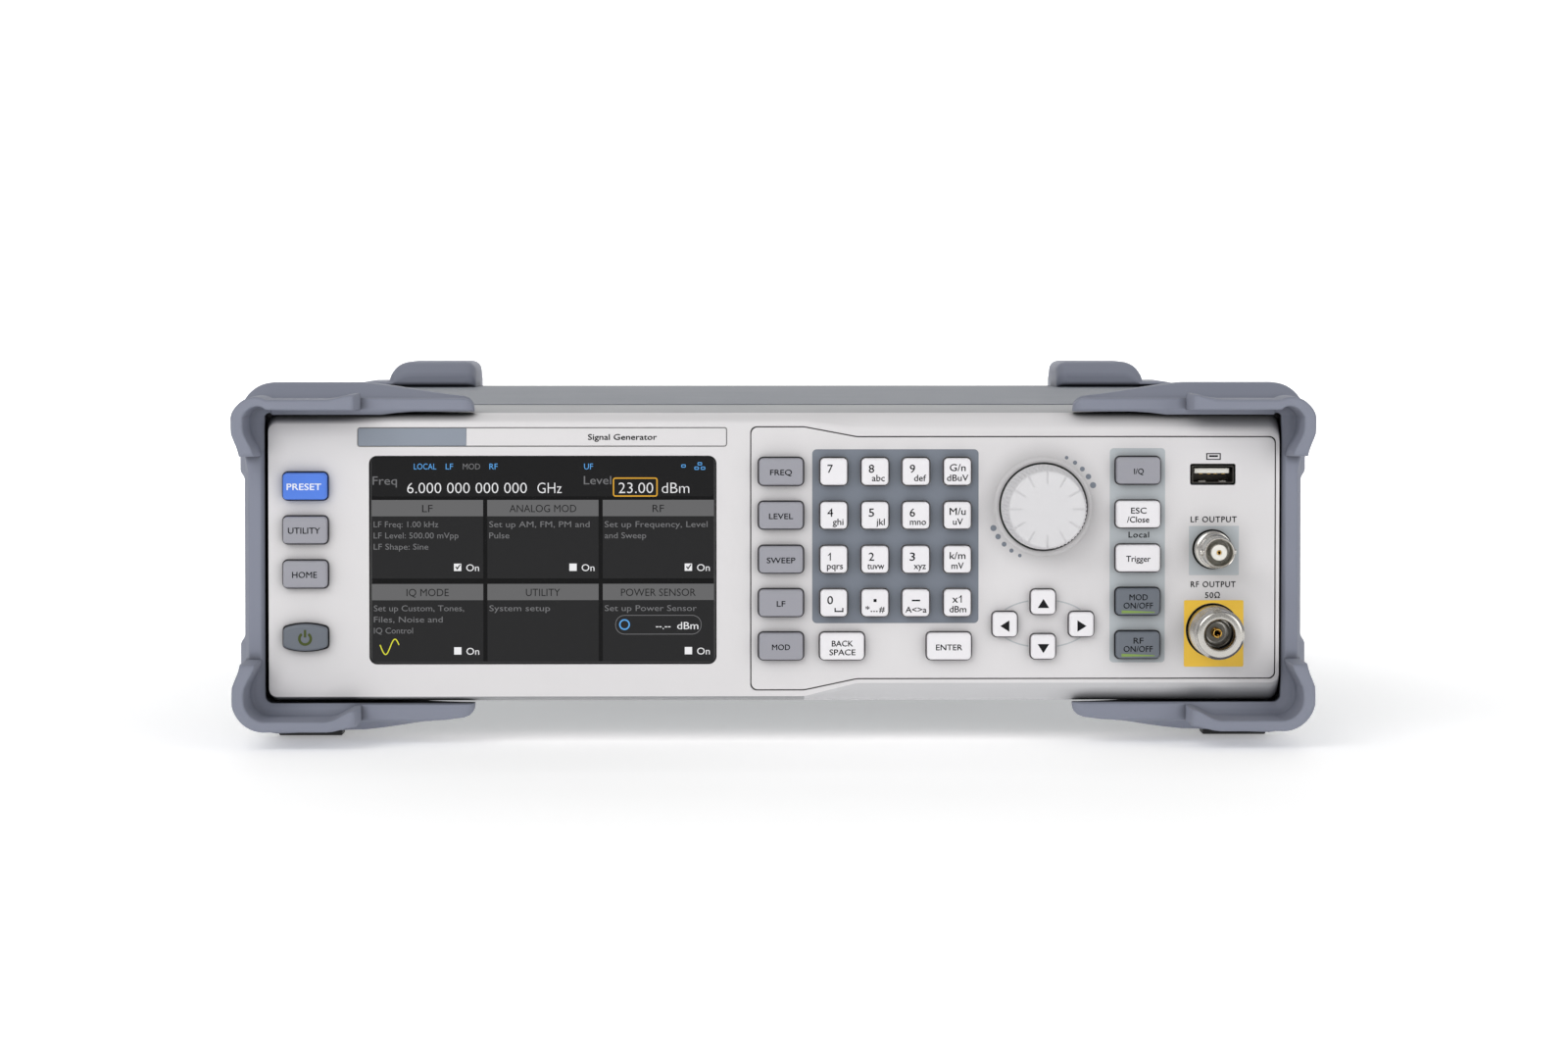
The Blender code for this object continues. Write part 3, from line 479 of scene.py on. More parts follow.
def make_front_panel():
    """Make the moulded front with its eased bevel, window, key holes and plate pocket."""
    face = stepped(-158.0, 158.5, (15.3, 100.7), (19.4, 98.2), 2.5, 9, 3)
    shoulder = stepped(-158.4, 158.7, (13.6, 104.0), (13.59, 104.01), 3.5)
    rings = []
    # share of the way from the face to the shoulder, and depth behind the face
    for inset, depth in ((0.0, 0.0), (0.08, 0.05), (0.2, 0.2), (0.32, 0.5), (0.55, 1.6),
                         (0.8, 3.1), (0.93, 4.1), (1.0, BEVEL)):
        rings.append(lift([(a[0] + (b[0] - a[0]) * inset, a[1] + (b[1] - a[1]) * inset)
                           for a, b in zip(face, shoulder)], FACE + depth))
    for level, rise, drop, radius in ((SEAM - 2.5, 0.05, 0.4, 3.4), (SEAM, 0.0, 0.2, 3.5)):
        low, high = CASE_LOW + rise, CASE_HIGH - drop
        rings.append(lift(stepped(-CASE_HALF, CASE_HALF, (low, high), (low - 0.005, high - 0.005),
                                  radius), level))
    panel = piece("front_moulding", PANEL, rings, stands_for=["front_panel"])
    hollow = rectangle(0, (CASE_LOW + CASE_HIGH) / 2, 311, 82.5, 4, 2)
    cut(panel, [slab(hollow, FACE + 4.5, SEAM + 1)])
    far = FACE + 5.5
    window = [high - low + 2 * CLEAR for low, high in zip(DISPLAY_LOW, DISPLAY_HIGH)]
    cut(panel, [flared_box(DISPLAY_AT, window[0], window[2], 2.4, far),
                *(flared(lambda grow, node=node: key_outline(node, CLEAR + grow), far)
                  for node in LEFT_KEYS),
                flared_box(NAME_AT, *NAME_SIZE, 0.8, FACE + 0.45)])
    cut(panel, [flared(lambda grow: plate_outline(CLEAR + grow), FACE + 2.9)])
    cut(panel, [slab(rectangle(72.6, 58.9, 156.4, 68, 2, 3), FACE + 1, far)])
    shade(panel.data)
    panel.data.materials.append(FLANGE_SHADE)
    panel.data.materials.append(SLOPE_SHADE)
    for part in panel.data.polygons:                # painted shade: the flange top and the underside bevel get darker copies of the panel finish
        behind = part.center.y / MM - FACE
        if part.normal.z > 0.9 and behind > BEVEL:
            part.material_index = 1
        elif part.normal.z < -0.1 and 0 < behind < BEVEL and part.center.z < 20 * MM:
            part.material_index = 1 if part.center.x < STEP_START * MM else 2


def make_nameplate():
    """Make the two-tone nameplate strip, let into its groove, with a plain legend."""
    rim, radius, sharp = 0.25, 0.6, 0.02
    left, right = [NAME_AT[0] + side * (NAME_SIZE[0] / 2 - rim) for side in (-1, 1)]
    low, high = [NAME_AT[1] + side * (NAME_SIZE[1] / 2 - rim) for side in (-1, 1)]
    front, split = FACE + 0.12, NAME_SPLIT + 0.02
    grey = rounded([(left, low), (NAME_SPLIT, low), (NAME_SPLIT, high), (left, high)],
                   [radius, sharp, sharp, radius])
    pale = rounded([(split, low), (right, low), (right, high), (split, high)],
                   [sharp, radius, radius, sharp])
    for name, outline, finish in (("grey", grey, NAME_GREY), ("pale", pale, PANEL)):
        piece("nameplate_" + name, finish, sheet([outline], front, 0.3, 0.06))
    piece("nameplate_legend", INK,
          text("Signal Generator", 1.8, -47.4, NAME_AT[1], front, 21.5, bold=0.09))


def make_control_plate():
    """Make the control plate with softened rims round every hole, and the knob collar."""
    holes = [*(key_outline(node, CLEAR) for node in PLATE_KEYS), circle(*KNOB_AT, 13.7, 72),
             rectangle(*USB_AT, 14.2, 6.6, 0.6), circle(*BNC_AT, 6.2), circle(*N_AT, 8.35, 64)]
    collar = [(13.7, 0.6), (13.7, -0.45), (13.95, -0.8), (14.5, -0.9), (15.0, -0.75),
              (15.35, -0.3), (15.6, -0.02), (15.7, 0.6)]
    piece("control_fascia", PANEL, sheet([plate_outline(), *holes], FACE, 2.5, 0.18),
          loop(turned(KNOB_AT, collar, 96)), stands_for=["control_plate"])


make_front_panel()
make_nameplate()
make_control_plate()

# ------------------------------------------------------------------------- keys
KEY_FRONT = box("key_7")[0][1]                      # outer face of the key caps
LEGEND_LEVEL = KEY_FRONT - PRINT / 2

# legends: words, span, cap height, offset right, offset up
DIGIT = (2.55, -1.15, 0.95)
KEY_LEGENDS = {
    "key_preset": [("PRESET", 10.7, 2.0, -0.2, -0.1)],
    "key_utility": [("UTILITY", 10.0, 1.9, -0.2, -0.1)],
    "key_home": [("HOME", 7.7, 1.9, -0.1, -0.1)],
    "key_freq": [("FREQ", 6.8, 1.75, 0, -0.2)],
    "key_level": [("LEVEL", 7.5, 1.75, 0, -0.2)],
    "key_sweep": [("SWEEP", 8.9, 1.75, 0, -0.2)],
    "key_lf": [("LF", 2.65, 1.75, 0, -0.2)],
    "key_mod": [("MOD", 5.6, 1.75, 0, -0.2)],
    "key_iq": [("I/Q", 3.0, 1.75, 0.1, -0.2)],
    "key_escape": [("ESC", 4.8, 1.85, 0.1, 1.2), ("/Close", 6.9, 1.85, -0.1, -1.6)],
    "key_trigger": [("Trigger", 7.6, 1.85, 0, -0.1)],
    "key_mod_switch": [("MOD", 5.7, 1.85, 0.1, 1.45), ("ON/OFF", 9.2, 1.85, 0, -1.15)],
    "key_rf_switch": [("RF", 3.1, 1.85, 0.1, 1.45), ("ON/OFF", 9.1, 1.85, 0, -1.15)],
    "key_backspace": [("BACK", 6.6, 1.8, 0.1, 0.95), ("SPACE", 8.1, 1.8, 0.1, -1.8)],
    "key_enter": [("ENTER", 8.2, 1.8, 0, -0.3)],
    "key_7": [("7", 1.65, *DIGIT)],
    "key_8": [("8", 1.65, *DIGIT), ("abc", 4.0, 2.0, 1.0, -1.95)],
    "key_9": [("9", 1.65, *DIGIT), ("def", 3.7, 2.0, 1.25, -1.95)],
    "key_4": [("4", 1.75, *DIGIT), ("ghi", 3.35, 2.0, 1.3, -1.95)],
    "key_5": [("5", 1.65, *DIGIT), ("jkl", 2.6, 2.0, 1.7, -1.95)],
    "key_6": [("6", 1.65, *DIGIT), ("mno", 5.0, 2.0, 0.6, -1.95)],
    "key_1": [("pqrs", 4.95, 2.0, 0.35, -1.95)],
    "key_2": [("2", 1.65, *DIGIT), ("tuvw", 5.3, 2.0, 0.2, -1.95)],
    "key_3": [("3", 1.65, *DIGIT), ("xyz", 3.75, 2.0, 1.2, -1.95)],
    "key_0": [("0", 1.75, *DIGIT)],
    "key_point": [("*", 1.3, 1.9, -2.35, -1.9), ("#", 1.75, 1.85, 2.15, -1.9)],
    "key_sign": [("A<>a", 6.6, 1.85, 0, -2.05)],
    "key_unit_giga": [("G/n", 4.95, 2.2, 0, 1.3), ("dBuV", 6.7, 2.0, 0, -1.9)],
    "key_unit_mega": [("M/u", 5.0, 2.2, 0, 1.3), ("uV", 3.1, 2.0, 0.1, -1.9)],
    "key_unit_kilo": [("k/m", 4.9, 2.2, 0, 1.3), ("mV", 3.8, 2.0, 0, -1.9)],
    "key_unit_one": [("x", 1.75, 2.35, -0.75, 1.3), ("dBm", 5.2, 2.0, 0.1, -1.9)],
    "key_up": [], "key_left": [], "key_down": [], "key_right": [],
}
# marks drawn as blocks: offset right, offset up, width, height
KEY_BLOCKS = {
    "key_0": [(1.6, -2.6, 2.8, 0.4), (0.4, -2.1, 0.4, 1.2), (2.8, -2.1, 0.4, 1.2)],
    "key_point": [(0, 0.8, 0.95, 0.95),
                  *((across, -2.6, 0.42, 0.42) for across in (-1.15, -0.3, 0.55))],
    "key_sign": [(0, 0.8, 2.6, 0.5)],
}
ONES = {"key_1": (-1.1, 0.95, 2.5), "key_unit_one": (1.15, 1.3, 2.35)}
ARROWS = {"key_up": 0.0, "key_left": math.pi / 2, "key_down": math.pi, "key_right": -math.pi / 2}


def printed(outline, level):
    """Return a thin printed shape, its front at a level."""
    return slab(outline, level, level + PRINT)


def block(x, z, width, height, level, radius=0.0):
    """Return a thin printed rectangle."""
    return printed(rectangle(x, z, width, height, radius, 3), level)


def make_key(node, finish):
    """Make one key cap with a rounded rim, a slight draft and its hidden flange."""
    rim, back = 0.75, box(node)[1][1]
    turns = [math.pi / 2 * step / 5 for step in range(6)]
    levels = [(-0.05 - rim * (1 - math.sin(turn)), KEY_FRONT + rim * 0.75 * (1 - math.cos(turn)))
              for turn in turns]
    levels += [(0, FACE + 2), (0, back - 1.1), (1, back - 1.1), (1, back)]
    piece(node + "_cap", KEY_FINISHES[finish],
          [lift(key_outline(node, grow), level) for grow, level in levels],
          body=node, stands_for=[node])


def make_legend(node):
    """Print the legend on one key."""
    x, z, _, _ = key_box(node)
    parts = [text(words, size, x + right, z + up, KEY_FRONT, span, bold=0.07)
             for words, span, size, right, up in KEY_LEGENDS[node]]
    if node in ONES:
        right, up, tall = ONES[node]
        stroke = [(0.17, -0.5), (0.17, 0.5), (-0.08, 0.5), (-0.32, 0.34), (-0.72, 0.2),
                  (-0.72, 0.07), (-0.17, 0.25), (-0.17, -0.5)]
        parts.append(printed([(x + right + u, z + up + v * tall) for u, v in stroke],
                             LEGEND_LEVEL))
    parts += [block(x + right, z + up, wide, tall, LEGEND_LEVEL)
              for right, up, wide, tall in KEY_BLOCKS.get(node, [])]
    if node in ARROWS:
        sine, cosine = math.sin(ARROWS[node]), math.cos(ARROWS[node])
        parts.append(printed([(x + u * cosine - v * sine, z + u * sine + v * cosine - 0.45)
                              for u, v in ((1.8, -1.35), (-1.8, -1.35), (0, 1.5))],
                             LEGEND_LEVEL))
    piece(node + "_legend", INK_WHITE if node == "key_preset" else INK, *parts, body=node)


def make_power_mark():
    """Print the power mark: an open ring with an upright bar."""
    x, z, _, _ = key_box("key_power")
    gap, steps = math.radians(34), 28
    turns = [math.pi / 2 + gap + (2 * math.pi - 2 * gap) * step / steps
             for step in range(steps + 1)]
    ring = [(x + radius * math.cos(turn), z - 0.3 + radius * math.sin(turn))
            for radius, run in ((2.2, turns), (1.35, turns[::-1])) for turn in run]
    piece("power_mark", POWER_INK, printed(ring, LEGEND_LEVEL),
          block(x, z + 1.3, 0.78, 2.4, LEGEND_LEVEL, 0.1), body="key_power")


def make_light_bar(node):
    """Make the tapered light bar let into a switch key."""
    x, z, _, _ = key_box(node)
    taper = shifted([(-5.2, 0), (5.2, 0.15), (5.2, 0.5), (-5.2, 0.95)], x, z - 3.6)
    piece(node + "_light", LED_GREEN,
          sheet([rounded(taper, 0.15, 3)], KEY_FRONT - 0.05, 0.3, 0.04), body=node)


for part in frame["record"]["subparts"]:
    if part["node"] in KEYS:
        make_key(part["node"], part["material_slot"])
for node in KEY_LEGENDS:
    make_legend(node)
make_power_mark()
make_light_bar("key_mod_switch")
make_light_bar("key_rf_switch")


# --------------------------------------------------------------- printed patches
ARROW_CENTRE = (84.3, 38.0)


def make_patches():
    """Print the keypad, right column and socket patches, open round keys and sockets."""
    rim = CLEAR + 0.15

    def key_holes(left, right, low=0):
        return [key_outline(node, rim) for node in KEYS
                if left < key_box(node)[0] < right and key_box(node)[1] > low]

    for name, finish, outline, holes in (
            ("keypad_patch", PATCH_BLUE, rectangle(38.05, 65.45, 52.1, 54.5, 1.4),
             key_holes(12, 64, 38)),
            ("column_patch", PATCH_PALE, rectangle(113.95, 59.4, 17.3, 67.2, 1.2),
             key_holes(100, 125)),
            ("lf_patch", PATCH_PALE, rectangle(BNC_AT[0] + 0.5, BNC_AT[1] - 0.4, 15.6, 15.4, 0.2),
             [circle(*BNC_AT, 6.35)]),
            ("rf_patch", PATCH_YELLOW, rectangle(N_AT[0] + 0.3, N_AT[1] - 1.05, 18.7, 20.9, 0.5),
             [circle(*N_AT, 8.5, 64)])):
        piece(name, finish, sheet([outline, *holes], FACE - PRINT, PRINT))


def arrow_arcs(level):
    """Return the thin ellipse behind the arrow keys, in arcs between the keys."""
    wide, tall, half, steps = 14.6, 7.45, 0.17, 160
    arcs, run = [], []
    for step in range(steps + 1):
        turn = 2 * math.pi * step / steps
        at = Vector(ARROW_CENTRE) + Vector((wide * math.cos(turn), tall * math.sin(turn)))
        hidden = any(abs(at[0] - x) < width / 2 + 0.45 and abs(at[1] - z) < height / 2 + 0.45
                     for x, z, width, height in map(key_box, ARROWS))
        if not hidden:
            out = Vector((tall * math.cos(turn), wide * math.sin(turn))).normalized() * half
            run.append((at, out))
        if (hidden or step == steps) and len(run) > 1:
            arcs.append(printed([tuple(at + out) for at, out in run]
                                + [tuple(at - out) for at, out in reversed(run)], level))
        if hidden:
            run = []
    return arcs


def make_panel_prints():
    """Print the socket names, the plug mark, the arrow ring and the dots beside the knob."""
    level = FACE - PRINT
    parts = [text(words, 1.8, x, z, level + PRINT / 2, span, bold=0.07, track=1.15)
             for words, span, x, z in (("LF OUTPUT", 14.4, BNC_AT[0] + 0.4, 70.7),
                                       ("RF OUTPUT", 14.0, N_AT[0] + 0.1, 50.3),
                                       ("50Ω", 4.6, N_AT[0] - 0.1, 46.9))]
    parts.append(text("Local", 1.8, 114.4, 65.9, level - PRINT, 6.4, bold=0.07, track=1.1))
    x, z = USB_AT[0] + 0.2, USB_AT[1] + 5.6
    parts += [block(x + right, z + up, wide, tall, level) for right, up, wide, tall in
              ((-2.1, 0, 0.35, 1.8), (2.1, 0, 0.35, 1.8), (0, -0.9, 4.55, 0.3),
               (0, 0.9, 4.55, 0.3), (0, 0.12, 2.8, 0.55))]
    piece("panel_legends", INK, *parts)
    piece("arrow_ring", PATCH_PALE, *arrow_arcs(level))
    dots = []
    for step in range(10):
        turn = math.pi * (step // 5) + math.radians(64.5 - 10.3 * (step % 5))
        dots.append(printed(circle(KNOB_AT[0] + 17 * math.cos(turn),
                                   KNOB_AT[1] + 17 * math.sin(turn), 0.55 + 0.1 * (step % 5),
                                   20), level))
    piece("knob_dots", PATCH_BLUE, *dots)


make_patches()
make_panel_prints()


# -------------------------------------------------------- tuning knob, connectors
def make_knob():
    """Make the knob: ribbed skirt, eased rim and a dished face with twelve grooves."""
    steps, ribs = 360, 60
    front, back = [corner[1] for corner in box("tuning_knob")]
    # radius, distance behind the front, depth of the ribs
    profile = [(2.0, 0.25, 0), (7.0, 0.2, 0), (10.8, 0.1, 0), (11.3, 0.0, 0), (11.65, 0.12, 0),
               (11.85, 0.4, 0), (11.95, 0.9, 0), (12.15, 1.3, 0.1), (12.4, 1.9, 0.35),
               (13.05, 13.2, 0.42), (13.2, 13.7, 0.2), (13.3, 14.0, 0), (13.3, 16.6, 0)]
    turns = [2 * math.pi * step / steps for step in range(steps)]
    rings = []
    for radius, level, rib in profile:
        reaches = [radius - rib * (0.5 - 0.5 * math.cos(ribs * turn)) ** 2 for turn in turns]
        rings.append(lift([(KNOB_AT[0] + reach * math.cos(turn),
                            KNOB_AT[1] + reach * math.sin(turn))
                           for turn, reach in zip(turns, reaches)], front + level))
    knob = piece("knob_cap", KNOB, rings, body="tuning_knob", stands_for=["tuning_knob"],
                 sharp=50)
    cuts = []
    for index in range(12):
        turn = math.radians(30 * index)
        along, across = (math.cos(turn), math.sin(turn)), (-math.sin(turn), math.cos(turn))
        groove = [(KNOB_AT[0] + along[0] * reach + across[0] * side,
                   KNOB_AT[1] + along[1] * reach + across[1] * side)
                  for reach, side in ((7.9, -0.3), (11.75, -0.3), (11.75, 0.3), (7.9, 0.3))]
        cuts.append(slab(rounded(groove, [0.25, 0, 0, 0.25], 3), front - 1, front + 0.4))
    cuts.append(slab(circle(*KNOB_AT, 3.35, 32), back - 10.4, back + 1))
    cut(knob, cuts)
    shade(knob.data, 50, flat=False)


def make_bnc():
    """Make the BNC socket: barrel with rolled rims, bayonet lugs, insulator and contact."""
    barrel = piece("lf_barrel", NICKEL, loop(turned(BNC_AT, [
        (4.1, -9.0), (4.1, -17.4), (4.3, -17.85), (4.55, -18.0), (4.75, -17.8), (4.8, -17.5),
        (4.8, -9.6), (4.85, -9.2), (5.15, -9.0), (5.3, -8.7), (5.3, -7.9), (5.0, -7.6),
        (4.85, -7.4), (4.85, -4.4), (5.1, -4.1), (5.65, -3.9), (5.8, -3.6), (5.8, 6.4),
        (4.2, 6.5), (4.2, 21.9), (3.0, 22.0), (3.0, -9.0)])), stands_for=["lf_output_connector"])
    cut(barrel, [[lift([(FACE - 13.5 + u, BNC_AT[1] + v) for u, v in circle(0, 0, radius, 20)],
                       BNC_AT[0] + sign * reach, "X")
                  for reach, radius in ((4.3, 1.05), (5.3, 1.05), (5.55, 0.95), (5.6, 0.7))]
                 for sign in (-1, 1)], "UNION")
    shade(barrel.data, 38, flat=False)
    piece("lf_insulator", PTFE, loop(turned(BNC_AT, [
        (0.75, -14.0), (0.75, -16.5), (0.95, -16.8), (2.2, -16.85), (2.45, -16.7), (2.5, -16.4),
        (2.5, -9.2), (4.0, -9.1), (4.0, -8.0), (0.75, -8.0)])))
    piece("lf_contact", GOLD, loop(turned(BNC_AT, [
        (0.34, -12.0), (0.34, -16.2), (0.45, -16.5), (0.6, -16.55), (0.7, -16.4), (0.7, -8.0),
        (0.34, -8.0)], 24)))


def make_n_socket():
    """Make the N socket: flared body, fine thread, bore and slotted gold contact."""
    body = [(4.6, -7.0), (4.6, -17.2), (4.8, -17.7), (5.1, -17.95), (6.6, -18.0), (6.95, -17.8),
            (7.05, -17.4), (7.05, -16.8), (7.5, -16.3)]
    pitch = 1.06
    for level in [-16 + pitch * index for index in range(8)]:
        body += [(7.6, level), (7.9, level + 0.3 * pitch), (7.9, level + 0.5 * pitch),
                 (7.6, level + 0.8 * pitch)]
    body += [(7.6, -7.2), (7.6, -6.6), (7.95, -6.2), (7.95, 6.4), (5.2, 6.5), (5.2, 23.8),
             (3.0, 24.0), (3.0, -7.0)]
    piece("rf_barrel", NICKEL, loop(turned(N_AT, body, 72)), stands_for=["rf_output_connector"])
    pin = piece("rf_contact", GOLD, loop(turned(N_AT, [
        (0.82, -8.0), (0.82, -11.6), (1.05, -11.95), (1.35, -11.95), (1.5, -11.7), (1.5, -5.0),
        (0.82, -5.0)], 32)))
    slots = []
    for turn in (0.5, 0.5 + math.pi / 2):
        sine, cosine = math.sin(turn), math.cos(turn)
        outline = [(N_AT[0] + cosine * a - sine * b, N_AT[1] + sine * a + cosine * b)
                   for a, b in rectangle(0, 0, 4, 0.32)]
        slots.append(slab(outline, FACE - 13, FACE - 8.6))
    cut(pin, slots)
    piece("rf_insulator", PTFE, loop(turned(N_AT, [
        (1.55, -6.9), (3.4, -6.9), (3.5, -6.6), (3.5, -5.0), (1.55, -5.0)], 40)))
    piece("rf_sleeve", DARK_METAL, loop(turned(N_AT, [
        (3.55, -12.4), (3.75, -12.6), (4.05, -12.5), (4.1, -12.2), (4.1, -6.9), (3.55, -6.9)])))


def make_usb():
    """Make the USB socket: folded shell, white tongue, four contacts, spring fingers."""
    x, z = USB_AT
    shell = [lift(rectangle(x, z, wide, tall, 0.5, 4), FACE + back) for wide, tall, back in
             ((12.5, 4.9, 0.0), (12.9, 5.3, 0.0), (13.3, 5.7, 0.25), (13.3, 5.7, 13.9),
              (12.5, 4.9, 13.9))]
    piece("usb_shell", DARK_METAL, loop(shell),
          slab(rectangle(x, z, 12.6, 5.0, 0.4, 4), FACE + 12.4, FACE + 13.2),
          stands_for=["usb_socket"])
    piece("usb_tongue", PTFE,
          sheet([rectangle(x - 0.2, z + 1.1, 11.0, 1.6, 0.2, 3)], FACE + 1.4, 11, 0.2))
    piece("usb_contacts", GOLD, *(slab(rectangle(x + across, z + 0.1, 1.0, 0.14), FACE + 2.2,
                                       FACE + 10) for across in (-3.5, -1.0, 1.0, 3.5)))
    finger = shifted([(1.5, 0), (9, 0), (3.2, 0.75), (1.5, 0.25)], FACE, z - 2.4)
    piece("usb_fingers", NICKEL, *(slab(finger, x + left, x + left + 2.2, "X")
                                   for left in (-4.3, 2.1)))


make_knob()
make_bnc()
make_n_socket()
make_usb()

# ---------------------------------------------------------------------- display
GLASS = DISPLAY_LOW[1]                              # outer face of the glass
LOW_LAYER, TEXT_LAYER, TOP_LAYER = [GLASS - layer * PRINT for layer in (2, 3, 4)]
SCREEN_BACK = lit("screen_back", 6, 6, 7)
SCREEN_HEAD = lit("screen_header", 24, 24, 25)
SCREEN_TILE = lit("screen_tile", 35, 35, 36)
SCREEN_BAR = lit("screen_bar", 102, 102, 103)
SCREEN_BAR_TEXT = lit("screen_bar_text", 28, 28, 29)
SCREEN_DIM = lit("screen_dim_text", 114, 114, 116)
SCREEN_WHITE = lit("screen_white", 236, 236, 238)
SCREEN_BLUE = lit("screen_blue", 92, 164, 228)
SCREEN_AMBER = lit("screen_amber", 222, 166, 52)
SCREEN_WAVE = lit("screen_wave", 226, 226, 62)

CAP_SCALE = 1.06                                    # cap height over the nominal size
READING_THIN = 0.055                                # taken off each side of a stroke
TILE_COLUMNS, TILE_WIDTH = (-125.8, -89.7, -53.6), 34.8
TILE_ROWS = ((76.9, 52.3), (50.6, 26.1))            # top and bottom of each row
TITLE_HEIGHT = 5.1
BOX_IN, BOX_UP = 26.8, 3.4                          # check box from a tile's lower left corner
# by row and column: a title and its width, then lines of text and their widths
TILES = {(0, 0): ("LF", 3.3, (("LF Freq: 1.00 kHz", 20.2), ("LF Level: 500.00 mVpp", 26.5),
                              ("LF Shape: Sine", 17.1))),
         (0, 1): ("ANALOG MOD", 20.9, (("Set up AM, FM, PM and", 31.4), ("Pulse", 6.3))),
         (0, 2): ("RF", 3.6, (("Set up Frequency, Level", 32.2), ("and Sweep", 13.0))),
         (1, 0): ("IQ MODE", 13.2, (("Set up Custom, Tones,", 28.2), ("Files, Noise and", 21.5),
                                    ("IQ Control", 12.2))),
         (1, 1): ("UTILITY", 10.7, (("System setup", 19.0),)),
         (1, 2): ("POWER SENSOR", 23.4, (("Set up Power Sensor", 28.8),))}


def span_text(words, size, left, right, z, level=TEXT_LAYER, thin=0.0):
    """Return lettering stretched to run from one X to another."""
    return text(words, size * CAP_SCALE, (left + right) / 2, z, level, right - left, thin=thin)


def outlined(left, right, low, high, line, radius):
    """Return a rectangular line with round corners."""
    x, z, width, height = (left + right) / 2, (low + high) / 2, right - left, high - low
    return band(rectangle(x, z, width, height, radius),
                rectangle(x, z, width - 2 * line, height - 2 * line, radius - line),
                TEXT_LAYER, TEXT_LAYER + PRINT)


def make_glass():
    """Make the glass with its eased rim, the dark screen and the header on it."""
    width, height = [DISPLAY_HIGH[axis] - DISPLAY_LOW[axis] for axis in (0, 2)]
    piece("display_glass", BLACK_GLOSS,
          sheet([rectangle(*DISPLAY_AT, width, height, 2)], GLASS, 1.8, 0.2),
          slab(rectangle(*DISPLAY_AT, width - 2, height - 2, 2), GLASS + 1.8, DISPLAY_HIGH[1]),
          stands_for=["display_module"])
    piece("screen_back", SCREEN_BACK,
          sheet([rectangle(*DISPLAY_AT, width - 1, height - 1, 1.6)], GLASS - PRINT, PRINT))
    piece("screen_header", SCREEN_HEAD,
          block(DISPLAY_AT[0], 84.2, 107.0, 12.4, LOW_LAYER, 1.2))


def make_tiles():
    """Make the six tiles with their title bars, titles and grey lines, and the field names."""
    fields, bars, titles = [], [], []
    lines = [span_text("Freq", 2.5, -125.5, -117.9, 83.0),
             span_text("Level", 2.5, -59.5, -50.9, 83.1),
             span_text("MOD", 1.75, -97.3, -91.9, 87.4)]
    first, step, indent = 7.6, 3.5, 0.6
    for (row, column), (title, width, words) in TILES.items():
        left, (high, low) = TILE_COLUMNS[column], TILE_ROWS[row]
        middle, bar = left + TILE_WIDTH / 2, high - TITLE_HEIGHT / 2
        fields.append(block(middle, (high + low) / 2, TILE_WIDTH, high - low, LOW_LAYER))
        bars.append(block(middle, bar, TILE_WIDTH, TITLE_HEIGHT, TEXT_LAYER))
        titles.append(span_text(title, 2.2, middle - width / 2, middle + width / 2, bar - 0.1,
                                TOP_LAYER))
        lines += [span_text(line, 1.75, left + indent, left + indent + span,
                            high - first - index * step)
                  for index, (line, span) in enumerate(words)]
    for name, finish, parts in (("tiles", SCREEN_TILE, fields), ("bars", SCREEN_BAR, bars),
                                ("titles", SCREEN_BAR_TEXT, titles),
                                ("dim_text", SCREEN_DIM, lines)):
        piece("screen_" + name, finish, *parts)


def make_readings():
    """Make the large readings, and the check boxes with their labels and ticks."""
    parts = [span_text(words, 3.2, left, right, 80.7, thin=READING_THIN)
             for words, left, right in (("6.000 000 000 000", -114.7, -77.3),
                                        ("GHz", -74.0, -66.4), ("23.00", -48.6, -37.8),
                                        ("dBm", -35.1, -26.5))]
    for column, row in ((0, 0), (1, 0), (2, 0), (0, 1), (2, 1)):
        left, z = TILE_COLUMNS[column], TILE_ROWS[row][1] + BOX_UP
        parts += [block(left + BOX_IN, z + 0.1, 2.3, 2.3, TEXT_LAYER),
                  span_text("On", 2.05, left + 29.5, left + 33.5, z)]
    parts += [span_text("--.--", 2.1, -37.0, -32.4, 37.5),
              span_text("dBm", 2.15, -30.3, -23.7, 37.5)]
    piece("screen_readings", SCREEN_WHITE, *parts)
    tick = [(-0.75, 0.1), (-0.45, 0.35), (-0.15, -0.1), (0.75, 1.0), (0.95, 0.75), (-0.1, -0.8)]
    piece("screen_ticks", SCREEN_BAR_TEXT, *(
        printed(shifted(tick, TILE_COLUMNS[column] + BOX_IN, TILE_ROWS[0][1] + BOX_UP + 0.1),
                TOP_LAYER) for column in (0, 2)))


def make_status():
    """Make the blue status words, four plain marks and the ring, and the two outlines."""
    parts = [span_text(words, 1.75, x - width / 2, x + width / 2, 87.4)
             for words, x, width in (("LOCAL", -109.1, 7.0), ("LF", -101.5, 2.3),
                                     ("RF", -87.7, 2.6), ("UF", -58.0, 2.8))]
    parts += [outlined(x - 0.7, x + 0.7, z - 0.5, z + 0.5, 0.25, 0.3)
              for x, z in ((-28.3, 87.5), (-23.2, 88.2), (-24.2, 86.8), (-22.2, 86.8))]
    parts.append(band(circle(-46.8, 37.8, 1.7), circle(-46.8, 37.8, 1.25), TEXT_LAYER,
                      TEXT_LAYER + PRINT))
    piece("screen_status", SCREEN_BLUE, *parts)
    piece("screen_edit_box", SCREEN_AMBER, outlined(-50.4, -36.4, 77.9, 83.9, 0.4, 0.8))
    piece("screen_meter_field", SCREEN_DIM, outlined(-49.7, -22.7, 34.7, 40.8, 0.2, 2.9))


